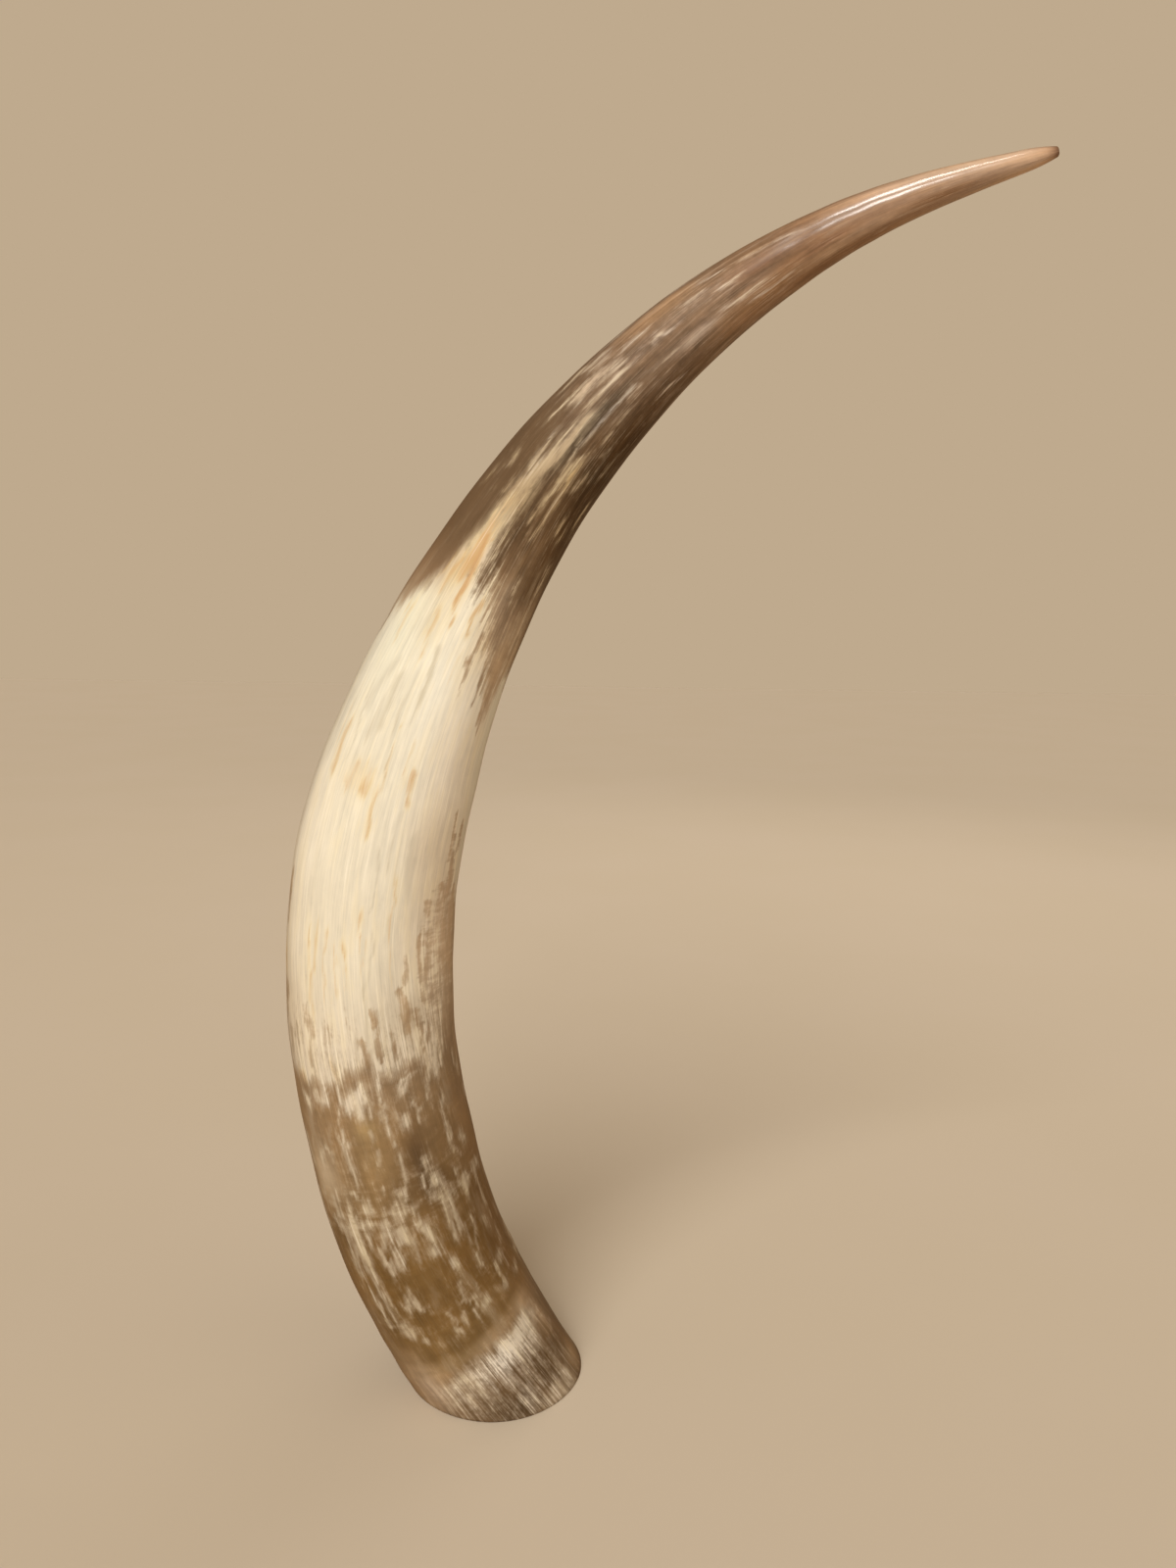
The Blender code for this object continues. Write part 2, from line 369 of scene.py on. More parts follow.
# Pale flecks and streaks in the olive zone. (strength, fade, path)
PALE = (
    (0.9, 0.006, ((68, 0.192, 2.2), (67, 0.150, 1.8), (67, 0.104, 1.3))),
    (0.8, 0.006, ((64, 0.190, 2.4), (65, 0.148, 1.4))),
    (0.6, 0.005, ((59, 0.180, 2.2), (58, 0.160, 1.5))),
    (0.6, 0.005, ((62, 0.184, 2.0), (62, 0.152, 1.4))),
    (0.5, 0.004, ((56, 0.156, 1.8), (57, 0.140, 1.5))),
    (0.4, 0.005, ((57, 0.138, 1.6), (58, 0.118, 1.6))),
    (0.6, 0.004, ((61, 0.121, 2.4), (59, 0.112, 2.0))),
    (0.4, 0.008, ((54, 0.186, 3.5), (52, 0.150, 3.0))),
    (0.9, 0.004, ((96, 0.181, 3.6), (97, 0.168, 3.0))),
    (0.9, 0.003, ((80, 0.166, 1.8), (81, 0.158, 1.8))),
    (0.7, 0.005, ((85, 0.184, 3.2), (84, 0.166, 2.4))),
    (0.7, 0.004, ((88, 0.164, 1.8), (89, 0.150, 1.6))),
    (0.8, 0.003, ((84, 0.152, 3.0), (85, 0.147, 3.0))),
    (0.5, 0.004, ((92, 0.160, 2.0), (91, 0.151, 1.6))),
    (0.6, 0.004, ((90, 0.186, 2.4), (89, 0.171, 2.0))),
    (0.6, 0.003, ((101, 0.168, 1.4), (102, 0.150, 1.2))),
    (0.5, 0.004, ((76, 0.180, 2.4), (74, 0.171, 1.8))),
    (0.8, 0.003, ((80, 0.118, 2.2), (81, 0.113, 2.2))),
    (0.7, 0.003, ((84, 0.120, 2.0), (83, 0.115, 2.0))),
    (0.8, 0.003, ((90, 0.120, 1.6), (92, 0.110, 1.9))),
    (0.4, 0.004, ((87, 0.125, 2.2), (86, 0.118, 2.0))),
    (1.0, 0.0025, ((113.5, 0.1525, 3.0), (113.5, 0.148, 3.2))),
    (1.0, 0.004, ((111, 0.176, 3.0), (114, 0.160, 1.8))),
    (0.7, 0.006, ((108, 0.206, 1.0), (112, 0.176, 1.4))),
    (0.7, 0.003, ((121, 0.136, 1.7), (122, 0.131, 1.7))),
    (0.7, 0.003, ((124, 0.132, 1.8), (125, 0.127, 1.8))),
    (0.7, 0.003, ((122, 0.118, 1.1), (122.5, 0.099, 1.1))),
    (0.4, 0.002, ((120, 0.0975, 4.5), (124, 0.096, 5.0))),
    (0.85, 0.004, ((129, 0.187, 1.8), (131, 0.160, 1.4), (131.5, 0.152, 1.9))),
    (0.95, 0.004, ((134, 0.188, 2.2), (136, 0.156, 1.3))),
    (0.7, 0.003, ((148, 0.153, 1.7), (148, 0.149, 1.7))),
    (0.7, 0.004, ((152, 0.190, 2.2), (152, 0.176, 1.6))),
    (0.7, 0.004, ((168, 0.188, 2.8), (167, 0.175, 1.8))),
    (0.6, 0.004, ((168, 0.176, 1.6), (170, 0.149, 1.5))),
    (0.5, 0.003, ((176, 0.186, 2.4), (176, 0.182, 2.0))),
    (0.5, 0.003, ((154, 0.099, 2.0), (154, 0.096, 2.0))),
    (0.6, 0.003, ((163, 0.104, 2.2), (161, 0.098, 2.4))),
    (0.5, 0.003, ((141, 0.121, 1.1), (141, 0.113, 1.1))),
    (0.35, 0.004, ((172, 0.122, 1.6), (172, 0.110, 1.5))),
    (0.45, 0.003, ((50, 0.188, 8.0), (50, 0.184, 8.0))),
    (0.50, 0.003, ((63, 0.187, 6.0), (63, 0.183, 6.0))),
    (0.45, 0.003, ((76, 0.188, 8.0), (76, 0.184, 8.0))),
    (0.45, 0.003, ((90, 0.188, 7.0), (90, 0.185, 7.0))),
    (0.50, 0.003, ((138, 0.186, 4.0), (134, 0.183, 4.0))),
    (0.45, 0.003, ((150, 0.187, 7.0), (150, 0.184, 7.0))),
    (0.45, 0.003, ((170, 0.189, 8.0), (170, 0.185, 8.0))),
    (0.45, 0.004, ((58, 0.105, 4.0), (59, 0.101, 4.0))),
    (0.35, 0.005, ((70, 0.099, 7.0), (74, 0.092, 6.0))),
    (0.40, 0.003, ((83, 0.085, 3.0), (83, 0.082, 3.0))),
    (0.35, 0.003, ((115, 0.087, 3.6), (115, 0.084, 3.6))),
    (0.35, 0.003, ((133, 0.086, 3.0), (133, 0.083, 3.0))),
    (0.45, 0.003, ((150, 0.081, 4.0), (150, 0.077, 4.0))),
    (0.40, 0.003, ((172, 0.079, 5.0), (172, 0.076, 5.0))),
    (0.40, 0.003, ((106, 0.079, 3.0), (106, 0.076, 3.0))),
    (0.55, 0.004, ((52, 0.206, 3.2), (54, 0.191, 3.0))),
    (0.45, 0.004, ((50, 0.239, 3.4), (48, 0.233, 3.0))),
    (0.60, 0.003, ((56, 0.247, 3.0), (61, 0.244, 3.0))),
    (0.80, 0.004, ((72, 0.250, 2.4), (75, 0.235, 2.0), (77, 0.222, 1.3))),
    (0.60, 0.003, ((77, 0.252, 2.2), (74, 0.244, 2.2))),
    (0.65, 0.003, ((65, 0.204, 1.9), (65, 0.197, 1.8))),
    (0.45, 0.003, ((71, 0.212, 3.6), (75, 0.209, 3.6))),
    (0.35, 0.004, ((80, 0.204, 3.6), (80, 0.198, 3.4))),
    (0.40, 0.004, ((97, 0.197, 4.5), (98, 0.186, 3.6))),
    (0.45, 0.003, ((104, 0.196, 2.6), (104, 0.190, 2.4))),
    (0.70, 0.003, ((121, 0.210, 1.6), (121, 0.203, 1.6))),
    (0.70, 0.003, ((127, 0.210, 1.6), (128, 0.203, 1.6))),
    (0.45, 0.003, ((124, 0.196, 2.2), (124, 0.190, 2.0))),
    (0.40, 0.004, ((132, 0.209, 3.2), (134, 0.196, 2.8))),
    (0.55, 0.003, ((146, 0.201, 1.7), (146, 0.195, 1.6))),
    (0.65, 0.003, ((159, 0.223, 2.6), (163, 0.218, 2.4))),
    (0.45, 0.003, ((150, 0.226, 1.2), (149, 0.214, 1.2))),
    (0.95, 0.004, ((83, 0.286, 4.6), (80, 0.279, 4.0))),
    (0.85, 0.004, ((88, 0.291, 4.0), (88, 0.276, 3.6))),
    (0.95, 0.003, ((92, 0.295, 2.2), (92, 0.283, 2.0))),
    (0.75, 0.003, ((124, 0.270, 2.6), (129, 0.267, 2.4))),
    (0.65, 0.003, ((116, 0.264, 2.6), (116, 0.256, 2.4))),
    (0.75, 0.003, ((118, 0.293, 1.3), (117, 0.283, 1.2))),
    (0.60, 0.003, ((121, 0.289, 1.7), (121, 0.284, 1.6))),
    (0.50, 0.002, ((120, 0.294, 4.0), (126, 0.2925, 3.4))),
    (0.55, 0.003, ((58, 0.289, 3.2), (58, 0.283, 3.0))),
    (0.55, 0.003, ((46, 0.284, 4.2), (46, 0.280, 4.0))),
    (0.55, 0.004, ((65, 0.296, 2.0), (64, 0.281, 1.8))),
    (0.65, 0.006, ((75, 0.306, 0.9), (75, 0.222, 0.8))),
    (0.85, 0.006, ((101, 0.335, 1.0), (103, 0.305, 1.0), (106, 0.258, 0.9), (109, 0.220, 0.8))),
    (0.60, 0.004, ((134, 0.312, 1.1), (134, 0.288, 1.0))),
    (0.60, 0.004, ((139, 0.304, 1.2), (139, 0.286, 1.1))),
    (0.90, 0.004, ((146, 0.310, 2.6), (146, 0.287, 2.4))),
    (0.75, 0.004, ((152, 0.302, 3.0), (151, 0.290, 2.8))),
    (0.35, 0.004, ((170, 0.292, 1.7), (170, 0.280, 1.6))),
    (0.45, 0.004, ((147, 0.262, 0.8), (149, 0.225, 0.8))),
)

# Brown that shows through the cream. (strength, fade, path)
BROWN = (
    (0.75, 0.004, ((97, 0.330, 2.6), (99, 0.312, 3.0))),
    (0.35, 0.005, ((53, 0.350, 3.2), (60, 0.332, 4.0))),
    (0.35, 0.005, ((58, 0.325, 2.4), (57, 0.312, 2.2))),
    (0.60, 0.005, ((124, 0.392, 2.2), (126, 0.372, 2.6))),
    (0.75, 0.005, ((123, 0.362, 3.4), (126, 0.345, 3.6), (126, 0.330, 2.6))),
    (0.60, 0.004, ((116, 0.322, 2.0), (117, 0.312, 2.2))),
    (0.70, 0.004, ((133, 0.345, 2.6), (135, 0.330, 2.2))),
    (0.55, 0.004, ((104, 0.352, 2.0), (105, 0.340, 1.8))),
    (0.50, 0.004, ((107, 0.330, 1.4), (108, 0.310, 1.4))),
    (0.85, 0.005, ((136, 0.408, 2.2), (137, 0.372, 2.6))),
    (0.85, 0.004, ((144, 0.388, 3.2), (142, 0.370, 3.6))),
    (0.85, 0.004, ((149, 0.359, 5.0), (146, 0.347, 4.0))),
    (0.75, 0.004, ((138, 0.360, 3.0), (140, 0.350, 3.0))),
    (0.90, 0.003, ((142, 0.402, 5.5), (150, 0.396, 5.0))),
    (0.80, 0.003, ((138, 0.436, 3.4), (140, 0.430, 3.4))),
    (0.85, 0.004, ((150, 0.450, 3.2), (156, 0.436, 4.2))),
    (0.90, 0.005, ((158, 0.412, 3.6), (160, 0.392, 5.0), (160, 0.380, 4.4))),
    (0.95, 0.005, ((168, 0.440, 5.0), (166, 0.400, 6.0), (166, 0.360, 6.0), (165, 0.300, 6.5))),
    (0.85, 0.005, ((151, 0.506, 2.4), (152, 0.490, 3.0), (153, 0.474, 2.6))),
    (0.85, 0.005, ((158, 0.474, 3.0), (158, 0.452, 4.0), (157, 0.436, 4.0))),
    (0.70, 0.004, ((147, 0.444, 2.2), (149, 0.434, 2.2))),
    (0.60, 0.004, ((162, 0.500, 3.0), (163, 0.480, 3.0))),
    (0.65, 0.004, ((138, 0.334, 1.4), (138, 0.312, 1.4))),
    (0.60, 0.004, ((143, 0.340, 1.2), (143, 0.318, 1.2))),
    (0.45, 0.007, ((117, 0.642, 2.6), (115, 0.622, 2.4), (117, 0.606, 1.6))),
    (0.60, 0.007, ((128, 0.660, 2.6), (130, 0.630, 2.2), (134, 0.600, 1.3))),
    (0.85, 0.006, ((142, 0.650, 3.0), (144, 0.610, 2.6), (146, 0.585, 1.8))),
    (0.85, 0.006, ((148, 0.640, 2.6), (149, 0.600, 2.6), (150, 0.580, 1.6))),
    (0.70, 0.006, ((110, 0.676, 1.4), (109, 0.655, 1.2))),
    (0.60, 0.006, ((122, 0.668, 1.6), (122, 0.640, 1.4))),
    (0.70, 0.006, ((136, 0.640, 1.6), (137, 0.606, 1.2))),
)

# Cream and tan tongues and flecks in the dark end. (strength, fade, path)
TONGUES = (
    (1.8, 0.012, ((75, 0.672, 9.5), (76.5, 0.692, 9.4), (76.5, 0.704, 9.6), (77.5, 0.718, 7.8))),
    (1.0, 0.008, ((77, 0.690, 11.5), (78, 0.705, 11.0), (78.5, 0.720, 10.5), (79.5, 0.740, 10.5),
                  (80.5, 0.758, 9.0), (85, 0.775, 7.0), (87, 0.795, 4.6), (86.5, 0.812, 3.0))),
    (0.85, 0.006, ((72, 0.765, 2.6), (70, 0.785, 1.4))),
    (0.75, 0.008, ((80, 0.770, 1.6), (80, 0.800, 1.3))),
    (0.90, 0.005, ((113.5, 0.722, 1.6), (115, 0.738, 2.8), (116.5, 0.756, 3.0), (116, 0.772, 3.4), (113, 0.790, 2.6))),
    (0.85, 0.005, ((110, 0.764, 3.4), (109, 0.776, 4.2), (110, 0.786, 3.0))),
    (0.80, 0.005, ((105, 0.733, 1.4), (104.5, 0.746, 1.7), (105, 0.764, 2.2), (102, 0.784, 2.0), (98.5, 0.798, 1.5))),
    (0.70, 0.008, ((60, 0.818, 5.5), (57, 0.832, 5.0), (63, 0.846, 5.0))),
    (0.55, 0.008, ((53, 0.806, 1.6), (54, 0.824, 2.6))),
    (0.60, 0.008, ((69, 0.838, 2.6), (70, 0.852, 2.4))),
    (0.55, 0.008, ((78, 0.822, 3.2), (79, 0.838, 3.2), (79, 0.854, 2.4))),
    (0.60, 0.006, ((45, 0.836, 2.4), (45, 0.850, 2.2))),
    (0.55, 0.006, ((36, 0.836, 3.0), (36, 0.852, 3.0))),
    (0.55, 0.006, ((56, 0.864, 3.4), (56, 0.880, 3.0))),
    (0.80, 0.004, ((76, 0.884, 2.6), (80, 0.880, 3.2), (82, 0.891, 3.0))),
    (0.70, 0.006, ((102, 0.802, 1.4), (101, 0.824, 1.4), (101.5, 0.846, 1.6))),
    (0.50, 0.004, ((107, 0.842, 1.4), (107, 0.852, 1.4))),
    (0.55, 0.004, ((119, 0.812, 1.4), (120, 0.818, 1.4), (118, 0.832, 2.4))),
    (0.20, 0.004, ((48, 0.756, 3.0), (48, 0.763, 2.8))),
    (0.30, 0.004, ((64, 0.738, 1.4), (64, 0.746, 1.4))),
    (0.60, 0.005, ((126, 0.768, 2.4), (128, 0.780, 2.0))),
    (0.40, 0.005, ((131, 0.798, 2.2), (132, 0.804, 2.0))),
    (0.50, 0.004, ((138, 0.738, 2.6), (139, 0.746, 2.2))),
    (0.45, 0.004, ((148, 0.732, 2.0), (148, 0.738, 2.0))),
    (0.45, 0.005, ((158, 0.752, 2.6), (160, 0.766, 2.6))),
    (0.35, 0.006, ((150, 0.790, 1.8), (151, 0.806, 1.6))),
    (0.45, 0.006, ((138, 0.866, 3.0), (143, 0.878, 3.2))),
    (0.55, 0.006, ((109, 0.898, 3.4), (111, 0.914, 2.6))),
    (0.45, 0.006, ((107, 0.886, 2.4), (108, 0.900, 2.4))),
    (0.55, 0.005, ((66, 0.912, 3.4), (67, 0.924, 3.0))),
    (0.80, 0.004, ((77, 0.934, 3.2), (80, 0.944, 3.0))),
    (0.55, 0.005, ((51, 0.928, 2.6), (54, 0.940, 2.6))),
    (0.55, 0.006, ((104, 0.930, 4.4), (109, 0.940, 4.0))),
    (0.45, 0.006, ((109, 0.950, 4.0), (109, 0.958, 3.6))),
    (0.75, 0.004, ((123, 0.950, 1.6), (124, 0.962, 2.0), (124, 0.978, 1.6))),
    (0.40, 0.006, ((57, 0.958, 2.6), (59, 0.972, 2.2))),
    (0.40, 0.006, ((58, 0.984, 3.0), (62, 0.996, 2.6))),
    (0.80, 0.008, ((154, 0.600, 1.6), (153, 0.650, 1.8), (155, 0.700, 2.2))),
    (0.60, 0.006, ((103, 0.670, 1.6), (102, 0.688, 1.0))),
    (0.45, 0.006, ((127, 0.672, 1.2), (127, 0.690, 0.9))),
    (0.35, 0.006, ((113, 0.662, 1.4), (112, 0.674, 1.0))),
    (0.35, 0.005, ((97, 0.684, 0.9), (96, 0.698, 0.7))),
    (0.35, 0.006, ((93, 0.700, 1.3), (92, 0.720, 1.0))),
)

# Yellow, tan and, where strongest, amber. (strength, fade, path)
STAINS = (
    (0.60, 0.012, ((76, 0.716, 8.0), (76, 0.696, 8.0), (75, 0.676, 6.5))),
    (1.00, 0.008, ((78, 0.706, 4.4), (81, 0.688, 4.2), (84, 0.662, 3.0))),
    (0.70, 0.008, ((73, 0.706, 4.0), (75, 0.690, 3.8), (75, 0.672, 3.0))),
    (0.60, 0.008, ((69, 0.686, 3.4), (66, 0.672, 3.6), (68, 0.660, 3.0))),
    (0.60, 0.005, ((86, 0.657, 2.6), (88, 0.646, 2.0))),
    (0.60, 0.006, ((104, 0.664, 2.4), (104, 0.650, 2.8), (105, 0.641, 2.2))),
    (0.55, 0.006, ((60, 0.688, 2.2), (56, 0.668, 2.6))),
    (0.40, 0.008, ((74, 0.645, 3.0), (76, 0.628, 3.6))),
    (0.45, 0.006, ((80, 0.625, 3.0), (80, 0.612, 2.2))),
    (0.35, 0.010, ((46, 0.640, 4.0), (48, 0.620, 3.4))),
    (0.50, 0.010, ((57, 0.405, 1.2), (57, 0.360, 1.3))),
    (0.45, 0.010, ((63, 0.410, 2.0), (62, 0.350, 2.2))),
    (0.50, 0.010, ((70, 0.408, 1.5), (70, 0.365, 1.6))),
    (0.40, 0.010, ((76, 0.395, 2.6), (78, 0.365, 2.2))),
    (0.50, 0.010, ((83, 0.398, 2.0), (84, 0.370, 2.0))),
    (0.50, 0.010, ((93, 0.420, 1.6), (95, 0.385, 2.0))),
    (0.40, 0.010, ((97, 0.415, 1.4), (98, 0.390, 1.4))),
    (0.50, 0.012, ((112, 0.450, 1.4), (114, 0.410, 2.2), (117, 0.380, 2.2))),
    (0.60, 0.006, ((66, 0.525, 5.0), (63, 0.513, 5.6))),
    (0.55, 0.006, ((77, 0.528, 4.6), (76, 0.512, 5.6))),
    (0.45, 0.008, ((86, 0.560, 1.6), (87, 0.520, 2.6), (86, 0.485, 2.0))),
    (0.55, 0.006, ((107, 0.532, 2.6), (107, 0.510, 3.0))),
    (0.45, 0.010, ((99, 0.552, 1.2), (101, 0.530, 1.4))),
    (0.50, 0.008, ((45, 0.548, 3.6), (46, 0.520, 4.0))),
    (0.35, 0.008, ((39, 0.560, 3.0), (40, 0.530, 3.0))),
    (0.30, 0.010, ((107, 0.620, 1.6), (108, 0.590, 1.6))),
    (0.40, 0.008, ((124, 0.652, 2.0), (124, 0.640, 2.0))),
    (0.50, 0.006, ((46, 0.300, 5.0), (46, 0.296, 5.0))),
    (0.35, 0.010, ((75, 0.310, 5.0), (76, 0.302, 5.0))),
    (0.45, 0.008, ((78, 0.735, 4.0), (76, 0.715, 5.0))),
    (0.55, 0.006, ((84, 0.704, 3.0), (76, 0.700, 5.0))),
    (0.45, 0.008, ((116, 0.780, 3.0), (116, 0.770, 3.0))),
)

# Grey and grey-green veins in the cream. (strength, fade, path)
VEINS = (
    (0.90, 0.005, ((97, 0.474, 1.8), (98, 0.462, 1.8))),
    (0.50, 0.008, ((98, 0.455, 1.0), (98, 0.430, 1.0))),
    (0.70, 0.006, ((99, 0.376, 1.4), (100, 0.345, 2.2), (101, 0.320, 2.2))),
    (0.65, 0.006, ((106, 0.350, 3.0), (108, 0.318, 3.2))),
    (0.50, 0.006, ((113, 0.355, 2.6), (115, 0.330, 2.6))),
    (0.55, 0.006, ((93, 0.335, 2.0), (91, 0.320, 1.8))),
    (0.40, 0.010, ((60, 0.600, 3.6), (55, 0.570, 4.0))),
    (0.45, 0.010, ((72, 0.590, 3.6), (70, 0.560, 3.6))),
    (0.40, 0.010, ((66, 0.570, 2.0), (66, 0.548, 2.0))),
    (0.45, 0.010, ((81, 0.600, 2.0), (82, 0.560, 2.0))),
    (0.55, 0.006, ((89, 0.626, 1.6), (91, 0.600, 1.6), (92, 0.570, 1.2))),
    (0.45, 0.008, ((84, 0.560, 1.2), (86, 0.530, 1.2))),
    (0.40, 0.010, ((50, 0.580, 1.2), (56, 0.535, 1.4))),
    (0.35, 0.010, ((70, 0.660, 1.6), (70, 0.630, 1.6))),
    (0.35, 0.010, ((104, 0.500, 1.4), (106, 0.470, 1.4))),
    (0.40, 0.008, ((102, 0.405, 1.0), (103, 0.380, 1.0))),
    (0.35, 0.012, ((120, 0.480, 3.0), (122, 0.450, 3.0))),
)

# The far side carries markings of the same kinds, scattered with a fixed seed.
chance = np.random.default_rng(41)


def scattered(number, bands, widths, lengths, strengths, fade, angles=(184.0, 392.0)):
    made = []
    for _ in range(number):
        at, spread = bands[int(chance.integers(len(bands)))]
        top = at + float(chance.normal(0.0, spread))
        angle = float(chance.uniform(*angles)) % 360.0
        long = float(chance.uniform(*lengths))
        wide = float(chance.uniform(*widths))
        strength = float(chance.uniform(*strengths))
        made.append((strength, fade, ((angle, top, wide), (angle + 80 * long, top - long, wide * 0.7))))
    return made


FAR_PALE = scattered(
    120,
    ((0.188, 0.004), (0.150, 0.010), (0.118, 0.006), (0.100, 0.004), (0.208, 0.008), (0.245, 0.008), (0.285, 0.007)),
    (1.2, 3.4), (0.003, 0.028), (0.35, 0.95), 0.004,
)
FAR_PALE += scattered(16, ((0.187, 0.002), (0.101, 0.002), (0.080, 0.002), (0.246, 0.002)), (5.0, 9.0), (0.002, 0.005), (0.4, 0.55), 0.003)
FAR_BROWN = scattered(46, ((0.335, 0.012), (0.360, 0.015), (0.395, 0.02), (0.44, 0.02)), (1.2, 3.4), (0.006, 0.026), (0.25, 0.60), 0.007)
FAR_BROWN += scattered(26, ((0.655, 0.012), (0.640, 0.012)), (1.4, 2.8), (0.015, 0.050), (0.6, 0.9), 0.006)
FAR_TONGUES = scattered(34, ((0.78, 0.03), (0.84, 0.02), (0.90, 0.02), (0.945, 0.02)), (1.6, 4.4), (0.006, 0.022), (0.35, 0.75), 0.006)
FAR_TONGUES += [
    (1.0, 0.008, ((232, 0.655, 11.0), (231, 0.690, 9.0), (229, 0.715, 6.0), (228, 0.745, 2.6))),
    (0.95, 0.008, ((292, 0.668, 8.0), (291, 0.695, 6.0), (288, 0.730, 2.6))),
    (0.9, 0.008, ((336, 0.628, 7.0), (335, 0.655, 5.0), (333, 0.690, 2.2))),
    (0.8, 0.006, ((262, 0.735, 1.6), (262, 0.755, 3.6), (260, 0.785, 3.0), (259, 0.800, 1.6))),
]
FAR_STAINS = scattered(44, ((0.40, 0.03), (0.52, 0.03), (0.62, 0.02), (0.665, 0.01)), (1.6, 4.6), (0.012, 0.050), (0.3, 0.65), 0.008)
FAR_VEINS = scattered(30, ((0.345, 0.02), (0.47, 0.03), (0.58, 0.02)), (1.2, 3.4), (0.012, 0.040), (0.35, 0.65), 0.008)
# A few faint ones on the near side too, between those that were placed.
NEAR_PALE = scattered(60, ((0.150, 0.02), (0.185, 0.006), (0.21, 0.01), (0.25, 0.015), (0.283, 0.008), (0.098, 0.008)), (0.8, 2.2), (0.002, 0.012), (0.2, 0.45), 0.003, (35.0, 184.0))

# cover: above 0 the horn is opaque and pale, below 0 it is dark or translucent.
# comb: how strongly fine parallel lines show. rungs: how strongly short cross steps do.
near = np.where(psi > 270.0, psi - 360.0, psi)


def window(x, low, high, soft):
    return smooth((x - low) / soft + 0.5) * smooth((high - x) / soft + 0.5)


cream_from = round_the_horn(CREAM_FROM)
dark_from = round_the_horn(DARK_FROM)
edge = s + 0.45 * (s_there - s)
cover = np.clip(np.minimum((edge - cream_from) / 0.008, (dark_from - s_there) / 0.015), -1.0, FULL)
# Just above its lower edge and on the inner side the cream is thin, and brown shows through.
thin = 0.76 + 0.30 * drift(26, 0.022, 21) + 0.16 * drift(60, 0.010, 22) + 1.8 * smooth((s - 0.325) / 0.08)
cover = np.minimum(cover, thin)
inner_side = window(near, 136.0, 205.0, 24.0)
cover = np.minimum(cover, FULL - inner_side * (1.55 * smooth((0.475 - s) / 0.06) + 0.50 * smooth((0.54 - s) / 0.05)))
brindled = window(near, 108.0, 172.0, 20.0) * smooth((s - 0.600) / 0.06)
cover = np.minimum(cover, FULL - 1.60 * brindled)

comb = np.maximum.reduce(
    [
        0.50 * window(near, 104.0, 150.0, 22.0) * window(s, -0.05, 0.050, 0.012),
        0.36 * window(near, 70.0, 104.0, 16.0) * window(s, -0.05, 0.040, 0.012),
        0.34 * window(s, 0.285, 0.375, 0.03),
        0.22 * window(s, 0.36, 0.50, 0.05),
        0.50 * brindled,
        0.34 * window(near, 86.0, 132.0, 10.0) * window(s, 0.640, 0.745, 0.03),
        0.45 * window(near, 205.0, 320.0, 20.0) * window(s, -0.05, 0.05, 0.012),
    ]
)
rungs = np.maximum(
    window(near, 134.0, 200.0, 14.0) * window(s, 0.335, 0.500, 0.03),
    0.5 * window(s, 0.175, 0.225, 0.02) + 0.35 * window(s, 0.09, 0.11, 0.01),
)

# loose: how far the grain breaks an edge up. lines: how streaky the dark horn is.
loose = 1.0 - 0.70 * window(near, -40.0, 66.0, 8.0) * window(s, 0.570, 0.730, 0.03)
loose -= 0.20 * window(s, 0.060, 0.280, 0.02)
loose -= 0.38 * window(near, 30.0, 140.0, 20.0) * window(s, 0.280, 0.320, 0.02)
loose -= 0.40 * window(near, 62.0, 96.0, 10.0) * window(s, 0.690, 0.830, 0.03)
lines = 0.24 + 0.56 * smooth((s - 0.58) / 0.10) + 0.45 * smooth((0.06 - s) / 0.02)
# calm: 1 where the dark horn is even in tone, as on the outer side of the cap.
calm = window(near, -60.0, 64.0, 10.0) * window(s, 0.630, 0.815, 0.03)
lines *= (1.0 - 0.70 * calm) * (1.0 - 0.45 * smooth((s - 0.93) / 0.10))
calm -= 0.50 * window(s, 0.82, 1.02, 0.05)

# crisp: the share of hard edges in the pale marks; in the olive zone they are cloudy.
crisp = 0.24 - np.maximum(0.17 * window(s, 0.055, 0.290, 0.02), 0.13 * smooth((s - 0.79) / 0.03))

# The pale band just above the cut, its top edge crisp and its lower edge drawn out in lines.
where = np.maximum(window(near, 72.0, 162.0, 34.0) * (0.71 + 0.29 * smooth((near - 107.0) / 20.0)), 0.85 * window(psi, 215.0, 318.0, 30.0))
band = np.clip(np.minimum((0.0465 - s_there) / 0.006, (s_there - 0.018) / 0.022), -1.0, 0.92)
cover = np.maximum(cover, (band + 1.0) * where - 1.0)
drawn = np.clip((0.046 - s_there) / 0.005, -1.0, 1.0)
cover = np.maximum(cover, np.where(s < 0.06, (np.minimum(drawn, 0.0) + 1.0) * window(near, 112.0, 138.0, 22.0) - 1.0, -1.0))
cover = np.maximum(cover, np.where(s < 0.06, (np.minimum(drawn, -0.50) + 1.0) * window(near, 84.0, 175.0, 22.0) - 1.0, -1.0))
foot = np.clip((-0.018 - s_there) / 0.008, -1.0, 0.30)
cover = np.maximum(cover, np.where(s < 0.0, (foot + 1.0) * window(near, 128.0, 165.0, 16.0) - 1.0, -1.0))

cover = take_out(BROWN + tuple(FAR_BROWN), cover)
cover = strokes(PALE + tuple(FAR_PALE) + tuple(NEAR_PALE), cover, 1.0)
cover = strokes(TONGUES + tuple(FAR_TONGUES), cover, 0.7)
stain = strokes(STAINS + tuple(FAR_STAINS), np.full(len(s), -1.0))
vein = strokes(VEINS + tuple(FAR_VEINS), np.full(len(s), -1.0))

